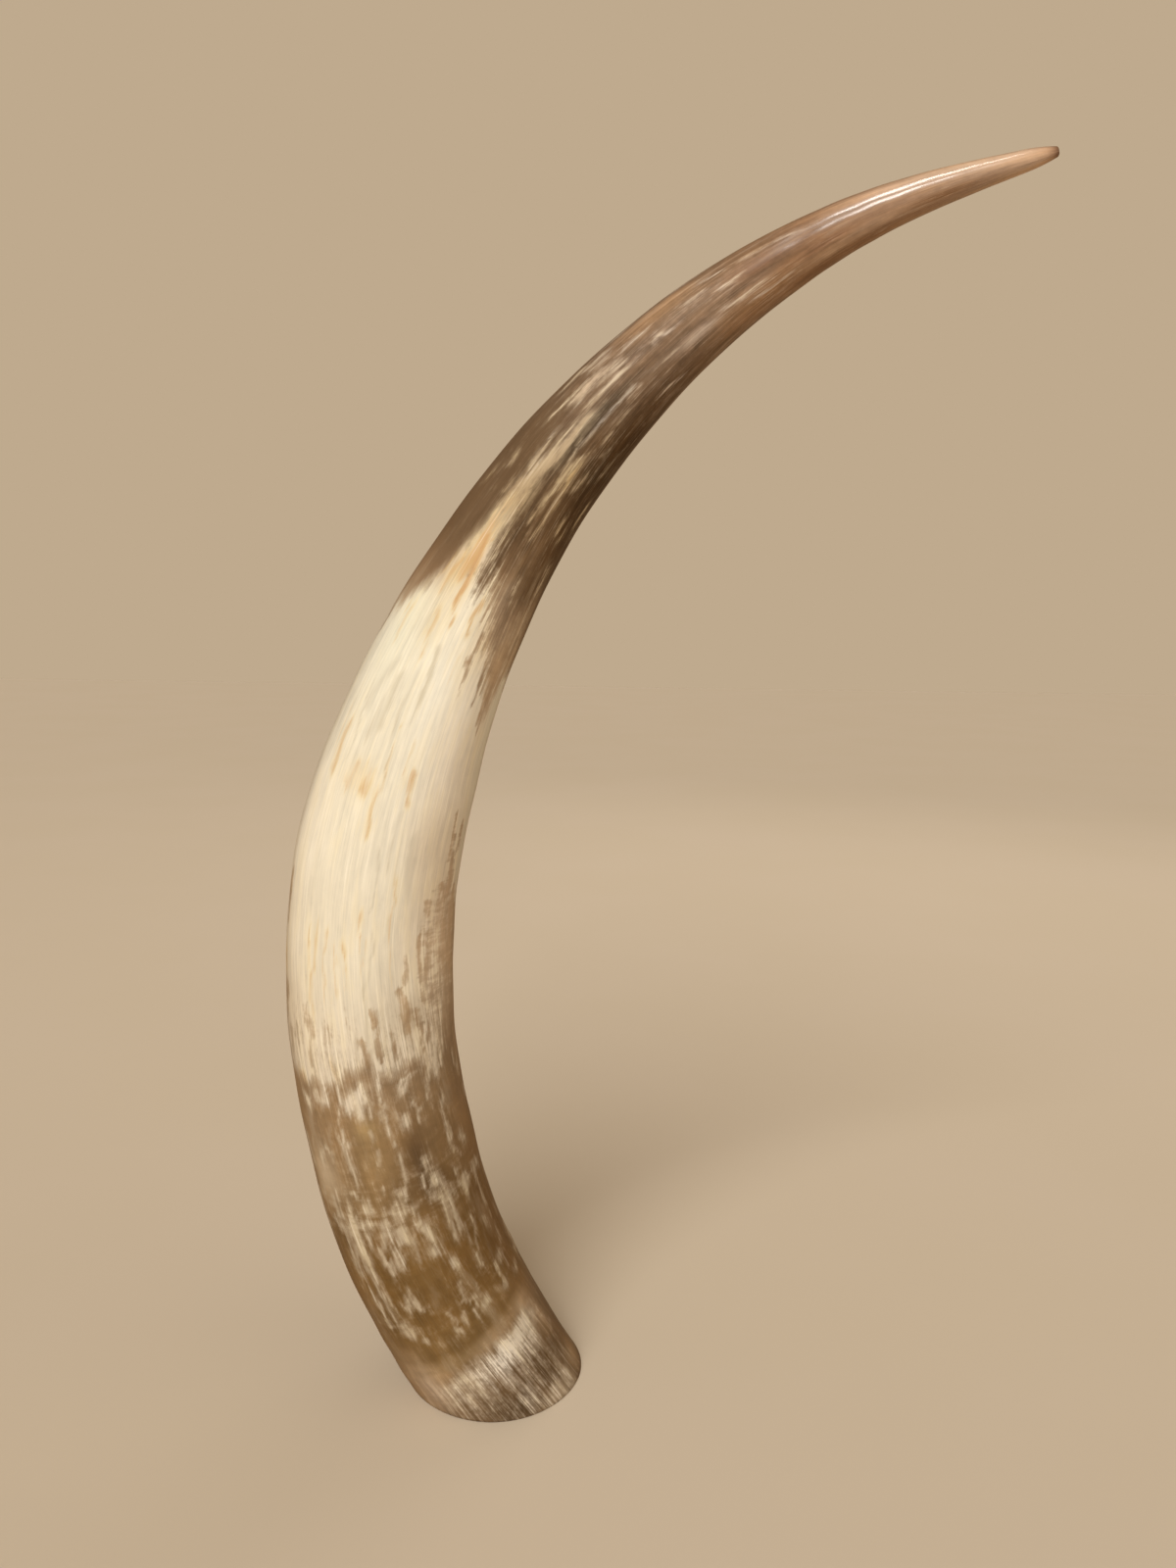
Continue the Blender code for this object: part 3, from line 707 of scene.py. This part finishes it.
# Colours along the horn, of what is dark or translucent and of what is pale.
DARK_STOPS = (
    (-0.040, (106, 84, 60)), (0.000, (106, 84, 60)), (0.045, (129, 105, 77)), (0.070, (122, 95, 58)),
    (0.100, (117, 88, 49)), (0.150, (121, 92, 53)), (0.200, (130, 103, 68)), (0.250, (144, 117, 84)),
    (0.300, (156, 130, 99)), (0.350, (184, 158, 126)), (0.450, (182, 156, 126)), (0.560, (168, 142, 114)),
    (0.600, (176, 150, 120)), (0.640, (170, 143, 113)), (0.670, (142, 115, 88)), (0.700, (110, 87, 64)),
    (0.780, (107, 85, 63)), (0.860, (128, 104, 83)), (0.920, (142, 114, 89)), (1.000, (146, 113, 86)),
    (1.060, (165, 133, 108)), (1.120, (188, 157, 132)), (1.158, (203, 170, 142)), (1.171, (190, 154, 124)),
    (1.178, (102, 68, 46)),
)
PALE_STOPS = (
    (-0.040, (176, 158, 134)), (0.040, (216, 203, 183)), (0.060, (194, 177, 150)), (0.150, (186, 169, 144)),
    (0.220, (190, 173, 148)), (0.280, (220, 206, 184)), (0.320, (224, 211, 189)), (0.380, (233, 223, 201)),
    (0.500, (238, 229, 207)), (0.620, (237, 230, 209)), (0.690, (224, 206, 174)), (0.740, (188, 164, 128)),
    (0.790, (188, 168, 138)), (0.860, (186, 167, 148)), (0.940, (196, 176, 158)), (1.060, (198, 173, 150)),
    (1.160, (210, 182, 152)),
)
DARK_PATCHES = (
    (52, 0.040, 22, 0.030, (173, 145, 115), 0.8),
    (64, 0.046, 12, 0.018, (205, 181, 156), 0.75),
    (80, 0.052, 8, 0.010, (170, 142, 108), 0.6),
    (20, 0.060, 30, 0.050, (142, 114, 82), 0.6),
    (178, -0.025, 14, 0.014, (170, 142, 108), 0.8),
    (60, 0.064, 11, 0.013, (192, 162, 128), 0.7),
    (160, 0.053, 14, 0.014, (196, 170, 140), 0.8),
    (168, 0.030, 12, 0.026, (188, 164, 136), 0.8),
    (122, 0.056, 13, 0.008, (176, 153, 126), 0.65),
    (157, 0.074, 14, 0.010, (138, 110, 76), 0.6),
    (145, -0.026, 18, 0.008, (160, 136, 106), 0.7),
    (105, 0.006, 12, 0.012, (88, 70, 50), 0.7),
    (153, 0.003, 16, 0.016, (92, 70, 44), 0.8),
    (112, -0.012, 10, 0.008, (84, 66, 46), 0.6),
    (110, -0.004, 12, 0.009, (74, 56, 36), 0.75),
    (75, 0.130, 11, 0.022, (110, 82, 44), 0.5),
    (96, 0.058, 34, 0.004, (140, 116, 82), 0.5),
    (110, 0.068, 60, 0.005, (110, 84, 48), 0.6),
    (90, 0.100, 26, 0.020, (122, 93, 54), 0.5),
    (120, 0.225, 9, 0.030, (96, 74, 50), 0.85),
    (130, 0.200, 12, 0.014, (94, 73, 48), 0.6),
    (103, 0.206, 12, 0.010, (108, 84, 56), 0.5),
    (92, 0.238, 14, 0.028, (156, 128, 88), 0.7),
    (91, 0.262, 7, 0.009, (170, 144, 102), 0.8),
    (80, 0.202, 6, 0.008, (158, 132, 94), 0.5),
    (152, 0.235, 16, 0.040, (126, 98, 62), 0.5),
    (165, 0.150, 14, 0.050, (122, 90, 50), 0.7),
    (50, 0.125, 16, 0.040, (134, 104, 64), 0.6),
    (47, 0.224, 16, 0.024, (208, 192, 170), 0.8),
    (40, 0.260, 20, 0.030, (160, 132, 98), 0.5),
    (103, 0.140, 12, 0.020, (126, 97, 57), 0.5),
    (95, 0.812, 7, 0.034, (86, 74, 60), 0.8),
    (104, 0.870, 10, 0.020, (110, 92, 76), 0.5),
    # These two darken the cap's inner underside: partly its own dark brown, partly painted shade where the light does
    # not reach it.
    (148, 0.800, 22, 0.090, (70, 46, 20), 0.75),
    (168, 0.760, 14, 0.110, (48, 30, 12), 0.8),
    (172, 0.110, 13, 0.090, (120, 88, 50), 0.7),
    (125, 0.715, 8, 0.014, (140, 112, 82), 0.6),
    (45, 0.700, 16, 0.040, (114, 91, 66), 0.5),
    (60, 0.770, 18, 0.030, (116, 91, 64), 0.4),
    # These two are painted reflection: a warm orange tint of the room on the upper-left edge, lighter than the horn's
    # own brown there.
    (36, 0.890, 9, 0.030, (190, 150, 112), 0.7),
    (50, 0.900, 12, 0.030, (172, 139, 107), 0.7),
    (72, 0.895, 10, 0.020, (158, 132, 108), 0.5),
    (110, 0.905, 8, 0.020, (212, 190, 173), 0.85),
    (80, 0.965, 12, 0.018, (122, 86, 60), 0.8),
    (111, 1.016, 7, 0.020, (134, 94, 68), 0.6),
    (60, 1.050, 5, 0.014, (150, 118, 94), 0.3),
    # These two are painted reflection: a bright peach sheen of the room laid on the tip's upper-left edge.
    (50, 1.055, 13, 0.032, (216, 180, 150), 0.75),
    (46, 1.110, 17, 0.036, (228, 194, 162), 0.85),
    (128, 0.960, 10, 0.030, (166, 127, 90), 0.6),
    (95, 0.930, 16, 0.020, (146, 122, 101), 0.5),
    (88, 0.670, 10, 0.014, (150, 112, 70), 0.3),
    (115, 0.664, 13, 0.020, (178, 155, 130), 0.7),
    (162, 0.660, 7, 0.050, (180, 155, 125), 0.7),
    (134, 0.628, 16, 0.028, (184, 158, 128), 0.6),
    (128, 0.690, 14, 0.020, (146, 120, 90), 0.5),
    # Painted shade: darkens the underside of the tip.
    (126, 1.100, 14, 0.034, (118, 85, 58), 0.7),
    (118, 1.045, 14, 0.030, (190, 158, 132), 0.6),
    (55, 0.965, 10, 0.014, (152, 116, 82), 0.65),
    (100, 1.002, 10, 0.014, (136, 106, 84), 0.5),
    (103, 0.958, 9, 0.014, (158, 132, 112), 0.5),
    # Painted shade: darkens the tip's underside on its inner side.
    (150, 1.030, 18, 0.070, (122, 86, 56), 0.6),
    (132, 1.010, 12, 0.030, (190, 156, 124), 0.7),
    (152, 0.360, 20, 0.050, (204, 182, 158), 0.6),
    (155, 0.430, 20, 0.050, (204, 182, 160), 0.6),
    (152, 0.590, 18, 0.050, (196, 172, 148), 0.6),
    (148, 0.655, 16, 0.025, (178, 156, 130), 0.7),
    (163, 0.235, 14, 0.040, (158, 128, 94), 0.6),
    (99, 0.720, 8, 0.034, (92, 70, 48), 0.7),
    (118, 0.680, 7, 0.014, (170, 150, 128), 0.6),
    (107, 0.700, 7, 0.012, (130, 106, 82), 0.6),
    (140, 0.690, 9, 0.016, (96, 74, 50), 0.5),
    (77, 1.000, 11, 0.016, (140, 104, 74), 0.65),
    (125, 1.052, 8, 0.020, (186, 156, 132), 0.6),
    (130, 0.340, 8, 0.014, (150, 124, 92), 0.6),
)
PALE_PATCHES = (
    (136, 0.540, 24, 0.080, (232, 217, 198), 0.6),
    (102, 0.600, 12, 0.060, (254, 249, 233), 0.75),
    (146, 0.460, 20, 0.060, (222, 204, 180), 0.6),
    (150, 0.400, 18, 0.060, (220, 200, 174), 0.6),
    (50, 0.630, 16, 0.040, (240, 236, 212), 0.6),
    (85, 0.615, 4, 0.016, (252, 247, 230), 0.7),
    (70, 0.520, 12, 0.012, (238, 218, 180), 0.6),
    (40, 0.340, 22, 0.040, (220, 202, 174), 0.6),
    (20, 0.420, 30, 0.080, (238, 220, 192), 0.4),
    (140, 0.040, 24, 0.010, (208, 194, 170), 0.4),
    (122, 0.034, 13, 0.014, (243, 233, 218), 0.8),
    (95, 0.655, 9, 0.025, (253, 246, 226), 0.7),
    (60, 0.677, 7, 0.014, (190, 166, 140), 0.85),
    (69, 0.676, 6, 0.014, (214, 186, 140), 0.7),
    (78, 0.687, 6, 0.011, (188, 148, 98), 0.8),
    (72, 0.702, 7, 0.008, (240, 218, 178), 0.6),
    (86, 0.692, 5, 0.016, (234, 217, 194), 0.65),
    (78, 0.721, 8, 0.010, (188, 170, 142), 0.6),
    (106, 0.480, 16, 0.080, (242, 236, 220), 0.4),
    (128, 0.400, 12, 0.030, (226, 212, 192), 0.5),
    (128, 0.480, 12, 0.030, (216, 200, 176), 0.5),
    (112, 0.350, 10, 0.030, (208, 194, 172), 0.5),
    (126, 0.580, 13, 0.050, (252, 243, 226), 0.7),
    (38, 0.480, 16, 0.060, (248, 238, 217), 0.5),
    (75, 0.640, 8, 0.022, (226, 214, 186), 0.6),
    (130, 0.340, 9, 0.016, (182, 162, 134), 0.65),
    (92, 0.038, 14, 0.016, (188, 171, 148), 0.7),
    (125, 0.650, 14, 0.030, (222, 198, 164), 0.6),
    (153, 0.650, 4, 0.060, (210, 184, 154), 0.8),
    # Painted reflection: a thin cool grey glint of the polish.
    (101, 0.825, 3, 0.030, (168, 166, 168), 0.7),
    (113, 0.758, 7, 0.030, (146, 118, 84), 0.85),
    (60, 0.832, 8, 0.020, (214, 190, 164), 0.7),
    (78, 0.955, 12, 0.016, (160, 126, 96), 0.6),
    (50, 0.960, 12, 0.020, (182, 150, 118), 0.5),
    (86, 0.790, 8, 0.030, (202, 178, 148), 0.5),
)
dark_colour = linear(patches(DARK_PATCHES, stops(DARK_STOPS)))
pale_colour = linear(patches(PALE_PATCHES, stops(PALE_STOPS)))


def write(name, kind, values, field):
    made = mesh.attributes.new(name, kind, "POINT")
    made.data.foreach_set(field, np.ascontiguousarray(values, dtype=np.float32).ravel())


write("cover", "FLOAT", cover, "value")
write("stain", "FLOAT", stain, "value")
write("vein", "FLOAT", vein, "value")
write("comb", "FLOAT", comb, "value")
write("rungs", "FLOAT", rungs, "value")
write("loose", "FLOAT", loose, "value")
write("lines", "FLOAT", lines, "value")
write("calm", "FLOAT", calm, "value")
write("crisp", "FLOAT", crisp, "value")
write("layer", "FLOAT", layer, "value")
write("along", "FLOAT", s, "value")
write("grain", "FLOAT_VECTOR", grain, "vector")
write("dark_colour", "FLOAT_COLOR", np.concatenate([dark_colour, np.ones((len(s), 1))], axis=1), "color")
write("pale_colour", "FLOAT_COLOR", np.concatenate([pale_colour, np.ones((len(s), 1))], axis=1), "color")

horn = bpy.data.objects.new("horn_polished", mesh)
bpy.context.scene.collection.objects.link(horn)

# ---- materials --------------------------------------------------------------


class Net:
    """Short ways to write a material's nodes."""

    def __init__(self, name):
        self.material = bpy.data.materials.new(name)
        self.material.use_nodes = True
        self.tree = self.material.node_tree
        self.shader = self.tree.nodes["Principled BSDF"]

    def node(self, kind, **settings):
        made = self.tree.nodes.new(kind)
        for key, value in settings.items():
            setattr(made, key, value)
        return made

    def put(self, socket, value):
        if isinstance(value, bpy.types.NodeSocket):
            self.tree.links.new(value, socket)
        else:
            socket.default_value = value

    def read(self, name, output="Fac"):
        return self.node("ShaderNodeAttribute", attribute_name=name).outputs[output]

    def math(self, operation, a, b=0.0, c=None, clamp=False):
        made = self.node("ShaderNodeMath", operation=operation, use_clamp=clamp)
        self.put(made.inputs[0], a)
        self.put(made.inputs[1], b)
        if c is not None:
            self.put(made.inputs[2], c)
        return made.outputs[0]

    def add(self, *terms):
        total = terms[0]
        for t in terms[1:]:
            total = self.math("ADD", total, t)
        return total

    def times(self, a, b):
        return self.math("MULTIPLY", a, b)

    def about(self, noise, amount):
        """A noise taken about its middle: (noise - 0.5) * amount."""
        return self.math("MULTIPLY_ADD", noise, amount, -0.5 * amount)

    def step(self, value, low, high, to_low=0.0, to_high=1.0):
        made = self.node("ShaderNodeMapRange", interpolation_type="SMOOTHSTEP")
        for i, v in enumerate((value, low, high, to_low, to_high)):
            self.put(made.inputs[i], v)
        return made.outputs[0]

    def noise(self, vector, stretch, scale, detail=3.0, rough=0.55, distort=0.0, move=(0, 0, 0)):
        place = self.node("ShaderNodeMapping", vector_type="POINT")
        self.put(place.inputs["Vector"], vector)
        place.inputs["Scale"].default_value = stretch
        place.inputs["Location"].default_value = move
        made = self.node("ShaderNodeTexNoise")
        self.put(made.inputs["Vector"], place.outputs[0])
        made.inputs["Scale"].default_value = scale
        made.inputs["Detail"].default_value = detail
        made.inputs["Roughness"].default_value = rough
        made.inputs["Distortion"].default_value = distort
        return made.outputs["Fac"]

    def mix(self, share, a, b, way="MIX"):
        made = self.node("ShaderNodeMix", data_type="RGBA", blend_type=way)
        self.put(made.inputs[0], share)
        self.put(made.inputs[6], a)
        self.put(made.inputs[7], b)
        return made.outputs[2]

    def scaled(self, colour, factor):
        made = self.node("ShaderNodeVectorMath", operation="SCALE")
        self.put(made.inputs[0], colour)
        self.put(made.inputs["Scale"], factor)
        return made.outputs[0]


def rgba(r, g, b):
    return (*(float(v) for v in linear((r, g, b))), 1.0)


def polished():
    n = Net("horn_polished")
    g = n.read("grain", "Vector")
    fibre = n.noise(g, (1, 1, 0.030), 560.0, 3.0, 0.6)
    hair = n.noise(g, (1, 1, 0.018), 1300.0, 2.0, 0.5, move=(0.3, 0.1, 0.2))
    streak = n.noise(g, (1, 1, 0.085), 240.0, 5.0, 0.62, 0.15, move=(0.7, 0.2, 0.4))
    mottle = n.noise(g, (1, 1, 0.55), 130.0, 6.0, 0.66, 0.25, move=(0.2, 0.5, 0.1))
    speck = n.noise(g, (1, 1, 0.50), 400.0, 4.0, 0.65, move=(0.9, 0.4, 0.3))
    cloud = n.noise(g, (1, 1, 0.45), 36.0, 4.0, 0.55, move=(0.1, 0.8, 0.6))
    veil = n.noise(g, (1, 1, 0.22), 75.0, 5.0, 0.6, 0.4, move=(0.6, 0.9, 0.2))
    growth = n.noise(g, (0.30, 0.30, 1.0), 190.0, 4.0, 0.62, move=(0.5, 0.3, 0.9))
    comb = n.read("comb")
    rungs = n.read("rungs")
    lines = n.read("lines")

    # Where it is pale, broken up by the grain.
    cover = n.read("cover")
    field = n.add(
        cover,
        n.times(n.read("loose"), n.add(n.about(streak, 1.9), n.about(mottle, 2.6), n.about(speck, 1.4), n.about(fibre, 0.8))),
        n.times(comb, n.add(n.about(fibre, 4.0), n.about(hair, 3.4))),
        n.times(rungs, n.about(growth, 4.2)),
    )
    soft = n.step(field, -0.95, 1.20)
    crisp = n.step(field, 0.15, 0.80)
    pale = n.add(soft, n.times(n.read("crisp"), n.math("SUBTRACT", crisp, soft)))

    # The dark or translucent horn, clouded and drawn out along the grain.
    dark = n.read("dark_colour", "Color")
    uneven = n.math("MULTIPLY_ADD", n.read("calm"), -0.65, 1.0)
    lift = n.add(
        1.0,
        n.times(lines, n.add(n.about(streak, 1.15), n.about(fibre, 0.75), n.about(veil, 0.60))),
        n.times(uneven, n.add(n.about(mottle, 0.42), n.about(cloud, 0.75), n.about(veil, 0.45), n.about(growth, 0.35))),
    )
    dark = n.scaled(dark, lift)
    dark = n.mix(n.step(cloud, 0.42, 0.64, 0.0, 0.28), dark, n.mix(1.0, dark, rgba(255, 243, 216), "MULTIPLY"))
    dark = n.mix(n.times(uneven, n.step(veil, 0.52, 0.72, 0.0, 0.30)), dark, n.scaled(n.read("pale_colour", "Color"), 0.72))

    # The opaque cream.
    light = n.read("pale_colour", "Color")
    light = n.scaled(light, n.add(1.0, n.about(fibre, 0.34), n.about(streak, 0.28), n.about(hair, 0.14), n.about(veil, 0.28), n.about(mottle, 0.18)))
    faint = n.step(n.add(veil, n.about(streak, 0.9)), 0.46, 0.70, 0.0, 0.26)
    light = n.mix(faint, light, rgba(237, 221, 180))
    stain = n.read("stain")
    wander = n.add(n.about(streak, 3.0), n.about(fibre, 1.4), n.about(veil, 1.6))
    yellow = n.step(n.add(stain, n.times(n.math("ADD", stain, 1.6), n.times(wander, 0.75))), -0.45, 1.05)
    light = n.mix(n.times(yellow, 0.62), light, rgba(229, 207, 156))
    amber = n.step(n.add(stain, n.about(streak, 1.4), n.about(fibre, 0.8), n.about(veil, 0.8)), 0.05, 1.05)
    light = n.mix(n.times(amber, 0.74), light, rgba(202, 150, 94))
    vein = n.read("vein")
    wander = n.add(n.about(streak, 1.6), n.about(fibre, 0.9), n.about(veil, 1.6))
    grey = n.step(n.add(vein, n.times(n.math("ADD", vein, 1.12), wander)), -0.70, 1.10)
    light = n.mix(n.times(grey, 0.50), light, rgba(184, 171, 146))
    white = n.step(n.add(n.about(fibre, 1.0), n.about(hair, 0.6), n.about(streak, 0.8)), 0.06, 0.26, 0.0, 0.28)
    light = n.mix(white, light, rgba(255, 248, 232))

    colour = n.mix(pale, dark, light)
    # Fine lines of the grain run over everything.
    line = n.times(lines, n.step(hair, 0.58, 0.74, 0.0, 0.15))
    colour = n.mix(line, colour, rgba(255, 240, 214))
    groove = n.times(lines, n.step(n.add(fibre, n.about(hair, 0.5)), 0.40, 0.26, 0.0, 0.22))
    colour = n.mix(groove, colour, n.scaled(colour, 0.55))

    s = n.shader
    n.put(s.inputs["Base Color"], colour)
    n.put(s.inputs["Roughness"], n.step(n.add(fibre, n.about(mottle, 0.8)), 0.30, 0.70, 0.30, 0.48))
    s.inputs["Specular IOR Level"].default_value = 0.12
    s.inputs["Coat Weight"].default_value = 0.65
    s.inputs["Coat Roughness"].default_value = 0.18
    s.inputs["Coat IOR"].default_value = 1.45
    relief = n.node("ShaderNodeBump")
    relief.inputs["Strength"].default_value = 0.12
    relief.inputs["Distance"].default_value = 0.0006
    n.put(relief.inputs["Height"], n.add(n.times(fibre, 0.6), n.times(streak, 0.8), n.times(growth, 0.5)))
    n.put(s.inputs["Normal"], relief.outputs[0])
    lacquer = n.node("ShaderNodeBump")
    lacquer.inputs["Strength"].default_value = 0.06
    lacquer.inputs["Distance"].default_value = 0.0008
    n.put(lacquer.inputs["Height"], n.noise(g, (1, 1, 0.30), 70.0, 1.0, 0.4, move=(0.4, 0.6, 0.8)))
    n.put(s.inputs["Coat Normal"], lacquer.outputs[0])
    return n.material


def raw():
    """The sawn rim and the hollow: bare horn, dull, in layers and ridges."""
    n = Net("horn_sawn_and_hollow")
    g = n.read("grain", "Vector")
    layers = n.read("layer")
    ridge = n.noise(g, (1, 1, 0.05), 300.0, 4.0, 0.6)
    mottle = n.noise(g, (1, 1, 0.5), 90.0, 5.0, 0.6, move=(0.4, 0.2, 0.1))
    saw = n.noise(g, (1, 1, 1), 900.0, 3.0, 0.6, move=(0.2, 0.7, 0.1))
    rings = n.node("ShaderNodeTexNoise", noise_dimensions="1D")
    n.put(rings.inputs["W"], n.add(n.times(layers, 9.0), n.about(mottle, 1.4)))
    rings.inputs["Scale"].default_value = 1.6
    rings.inputs["Detail"].default_value = 3.0
    cut_colour = n.mix(n.step(rings.outputs["Fac"], 0.35, 0.65), rgba(150, 122, 92), rgba(212, 190, 158))
    cut_colour = n.mix(n.times(n.step(saw, 0.4, 0.7), 0.30), cut_colour, rgba(120, 96, 70))
    wall_colour = n.mix(n.step(mottle, 0.34, 0.66), rgba(126, 98, 68), rgba(176, 146, 108))
    wall_colour = n.mix(n.times(n.step(ridge, 0.40, 0.66), 0.45), wall_colour, rgba(206, 180, 142))
    inside = n.step(layers, 0.94, 1.0)
    colour = n.mix(inside, cut_colour, wall_colour)
    s = n.shader
    n.put(s.inputs["Base Color"], colour)
    n.put(s.inputs["Roughness"], n.step(ridge, 0.3, 0.7, 0.58, 0.78))
    relief = n.node("ShaderNodeBump")
    relief.inputs["Strength"].default_value = 0.5
    relief.inputs["Distance"].default_value = 0.0008
    n.put(relief.inputs["Height"], n.add(ridge, n.times(saw, 0.3)))
    n.put(s.inputs["Normal"], relief.outputs[0])
    return n.material


def tip_cut():
    """The small blunt end of the tip, darker than the horn round it."""
    n = Net("horn_tip_end")
    g = n.read("grain", "Vector")
    grain_noise = n.noise(g, (1, 1, 1), 500.0, 4.0, 0.6)
    colour = n.mix(n.step(grain_noise, 0.35, 0.68), rgba(74, 50, 32), rgba(128, 96, 66))
    s = n.shader
    n.put(s.inputs["Base Color"], colour)
    n.put(s.inputs["Roughness"], n.step(grain_noise, 0.3, 0.7, 0.32, 0.5))
    s.inputs["Coat Weight"].default_value = 0.6
    s.inputs["Coat Roughness"].default_value = 0.1
    return n.material


for made in (polished(), raw(), tip_cut()):
    mesh.materials.append(made)

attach(horn, "root")
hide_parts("horn")

# ---- floor, light and camera -------------------------------------------------


def plain_floor():
    made = bpy.data.meshes.new("floor")
    half = 9.0
    made.from_pydata([(-half, -half, 0), (half, -half, 0), (half, half, 0), (-half, half, 0)], [], [(0, 1, 2, 3)])
    floor = bpy.data.objects.new("floor", made)
    floor.location.z = -0.0002
    bpy.context.scene.collection.objects.link(floor)
    n = Net("floor")
    where = n.node("ShaderNodeTexCoord").outputs["Object"]
    soft = n.noise(where, (1, 1, 1), 2.4, 3.0, 0.5)
    n.put(n.shader.inputs["Base Color"], n.mix(n.step(soft, 0.3, 0.7), rgba(213, 198, 176), rgba(214, 199, 178)))
    n.shader.inputs["Roughness"].default_value = 0.9
    n.shader.inputs["Specular IOR Level"].default_value = 0.0
    made.materials.append(n.material)
    floor.visible_glossy = False       # the polish mirrors the studio, not the pale floor


def softbox(name, place, target, wide, high, power, colour):
    data = bpy.data.lights.new(name, "AREA")
    data.shape = "RECTANGLE"
    data.size, data.size_y = wide, high
    data.energy = power
    data.color = colour
    lamp = bpy.data.objects.new(name, data)
    lamp.location = place
    lamp.rotation_euler = (Vector(target) - Vector(place)).to_track_quat("-Z", "Y").to_euler()
    bpy.context.scene.collection.objects.link(lamp)
    return lamp


def strip(name, first, last, target, wide, power, colour):
    """A narrow lamp whose long side runs from first to last, facing target."""
    first, last, target = Vector(first), Vector(last), Vector(target)
    middle_of = (first + last) / 2
    back = (middle_of - target).normalized()
    long = (last - first).normalized()
    long = (long - back * long.dot(back)).normalized()
    data = bpy.data.lights.new(name, "AREA")
    data.shape = "RECTANGLE"
    data.size, data.size_y = (last - first).length, wide
    data.energy = power
    data.color = colour
    lamp = bpy.data.objects.new(name, data)
    lamp.matrix_world = Matrix.Translation(middle_of) @ Matrix((long, back.cross(long), back)).transposed().to_4x4()
    bpy.context.scene.collection.objects.link(lamp)
    return lamp


plain_floor()
key_data = bpy.data.lights.new("key", "SUN")
key_data.energy = 2.55
key_data.angle = math.radians(40)
key_data.color = (1.0, 0.985, 0.945)
key = bpy.data.objects.new("key", key_data)
key.rotation_euler = Vector((0.34, 1.00, -0.74)).to_track_quat("-Z", "Y").to_euler()
key.visible_glossy = False
bpy.context.scene.collection.objects.link(key)
fill_data = bpy.data.lights.new("fill", "SUN")
fill_data.energy = 0.42
fill_data.angle = math.radians(60)
fill_data.color = (1.0, 0.96, 0.90)
fill = bpy.data.objects.new("fill", fill_data)
fill.rotation_euler = Vector((-0.93, 0.33, -0.14)).to_track_quat("-Z", "Y").to_euler()
fill.visible_glossy = False
bpy.context.scene.collection.objects.link(fill)
softbox("back", (0.9, 2.2, 1.9), (0.0, 0.0, 0.5), 2.0, 1.4, 8.0, (1.0, 0.93, 0.86)).visible_glossy = False
TIP = Vector((0.15, -0.04, 0.89))
strips = (
    strip("strip_first", TIP + 1.6 * Vector((-0.045, -0.585, 0.810)), TIP + 1.6 * Vector((0.070, -0.495, 0.866)), TIP, 0.18, 7.5, (1.0, 0.97, 0.92)),
    strip("strip_last", TIP + 1.6 * Vector((0.070, -0.495, 0.866)), TIP + 1.6 * Vector((0.160, -0.345, 0.925)), TIP, 0.26, 8.0, (1.0, 0.96, 0.89)),
    strip("strip_low", TIP + 1.6 * Vector((0.135, -0.850, 0.510)), TIP + 1.6 * Vector((0.175, -0.735, 0.655)), TIP, 0.19, 10.0, (1.0, 0.97, 0.92)),
)
for lamp in strips:
    lamp.visible_diffuse = False        # they give the polish its gleam and no more

world = bpy.data.worlds.new("studio")
world.use_nodes = True
w = world.node_tree
ambient = w.nodes["Background"]
ambient.inputs["Color"].default_value = rgba(210, 186, 156)
ambient.inputs["Strength"].default_value = 0.45
backdrop = w.nodes.new("ShaderNodeBackground")
backdrop.inputs["Color"].default_value = rgba(191, 170, 142)
backdrop.inputs["Strength"].default_value = 1.0
# The studio as the polish mirrors it is dimmer and browner than the light it gives.
mirrored = w.nodes.new("ShaderNodeBackground")
mirrored.inputs["Color"].default_value = rgba(168, 128, 88)
mirrored.inputs["Strength"].default_value = 0.45
seen = w.nodes.new("ShaderNodeLightPath")
around = w.nodes.new("ShaderNodeMixShader")
w.links.new(seen.outputs["Is Glossy Ray"], around.inputs[0])
w.links.new(ambient.outputs[0], around.inputs[1])
w.links.new(mirrored.outputs[0], around.inputs[2])
either = w.nodes.new("ShaderNodeMixShader")
w.links.new(seen.outputs["Is Camera Ray"], either.inputs[0])
w.links.new(around.outputs[0], either.inputs[1])
w.links.new(backdrop.outputs[0], either.inputs[2])
w.links.new(either.outputs[0], w.nodes["World Output"].inputs["Surface"])
bpy.context.scene.world = world
bpy.context.scene.view_settings.view_transform = "Standard"

DOWN, ROLL = math.radians(8.3), math.radians(-0.79)
ahead = Vector((0.0, math.cos(DOWN), -math.sin(DOWN)))
level_down = Vector((0.0, -math.sin(DOWN), -math.cos(DOWN)))
right = math.cos(ROLL) * Vector((1.0, 0.0, 0.0)) + math.sin(ROLL) * level_down
under = -math.sin(ROLL) * Vector((1.0, 0.0, 0.0)) + math.cos(ROLL) * level_down
camera_data = bpy.data.cameras.new("camera")
camera_data.sensor_width = 36.0
camera_data.sensor_fit = "AUTO"
camera_data.lens = 27.045
camera_data.clip_start = 0.02
camera_data.clip_end = 60.0
camera = bpy.data.objects.new("camera", camera_data)
turned = Matrix((right, -under, -ahead)).transposed().to_4x4()
camera.matrix_world = Matrix.Translation((-0.035, -0.8991, 0.62)) @ turned
bpy.context.scene.collection.objects.link(camera)
bpy.context.scene.camera = camera
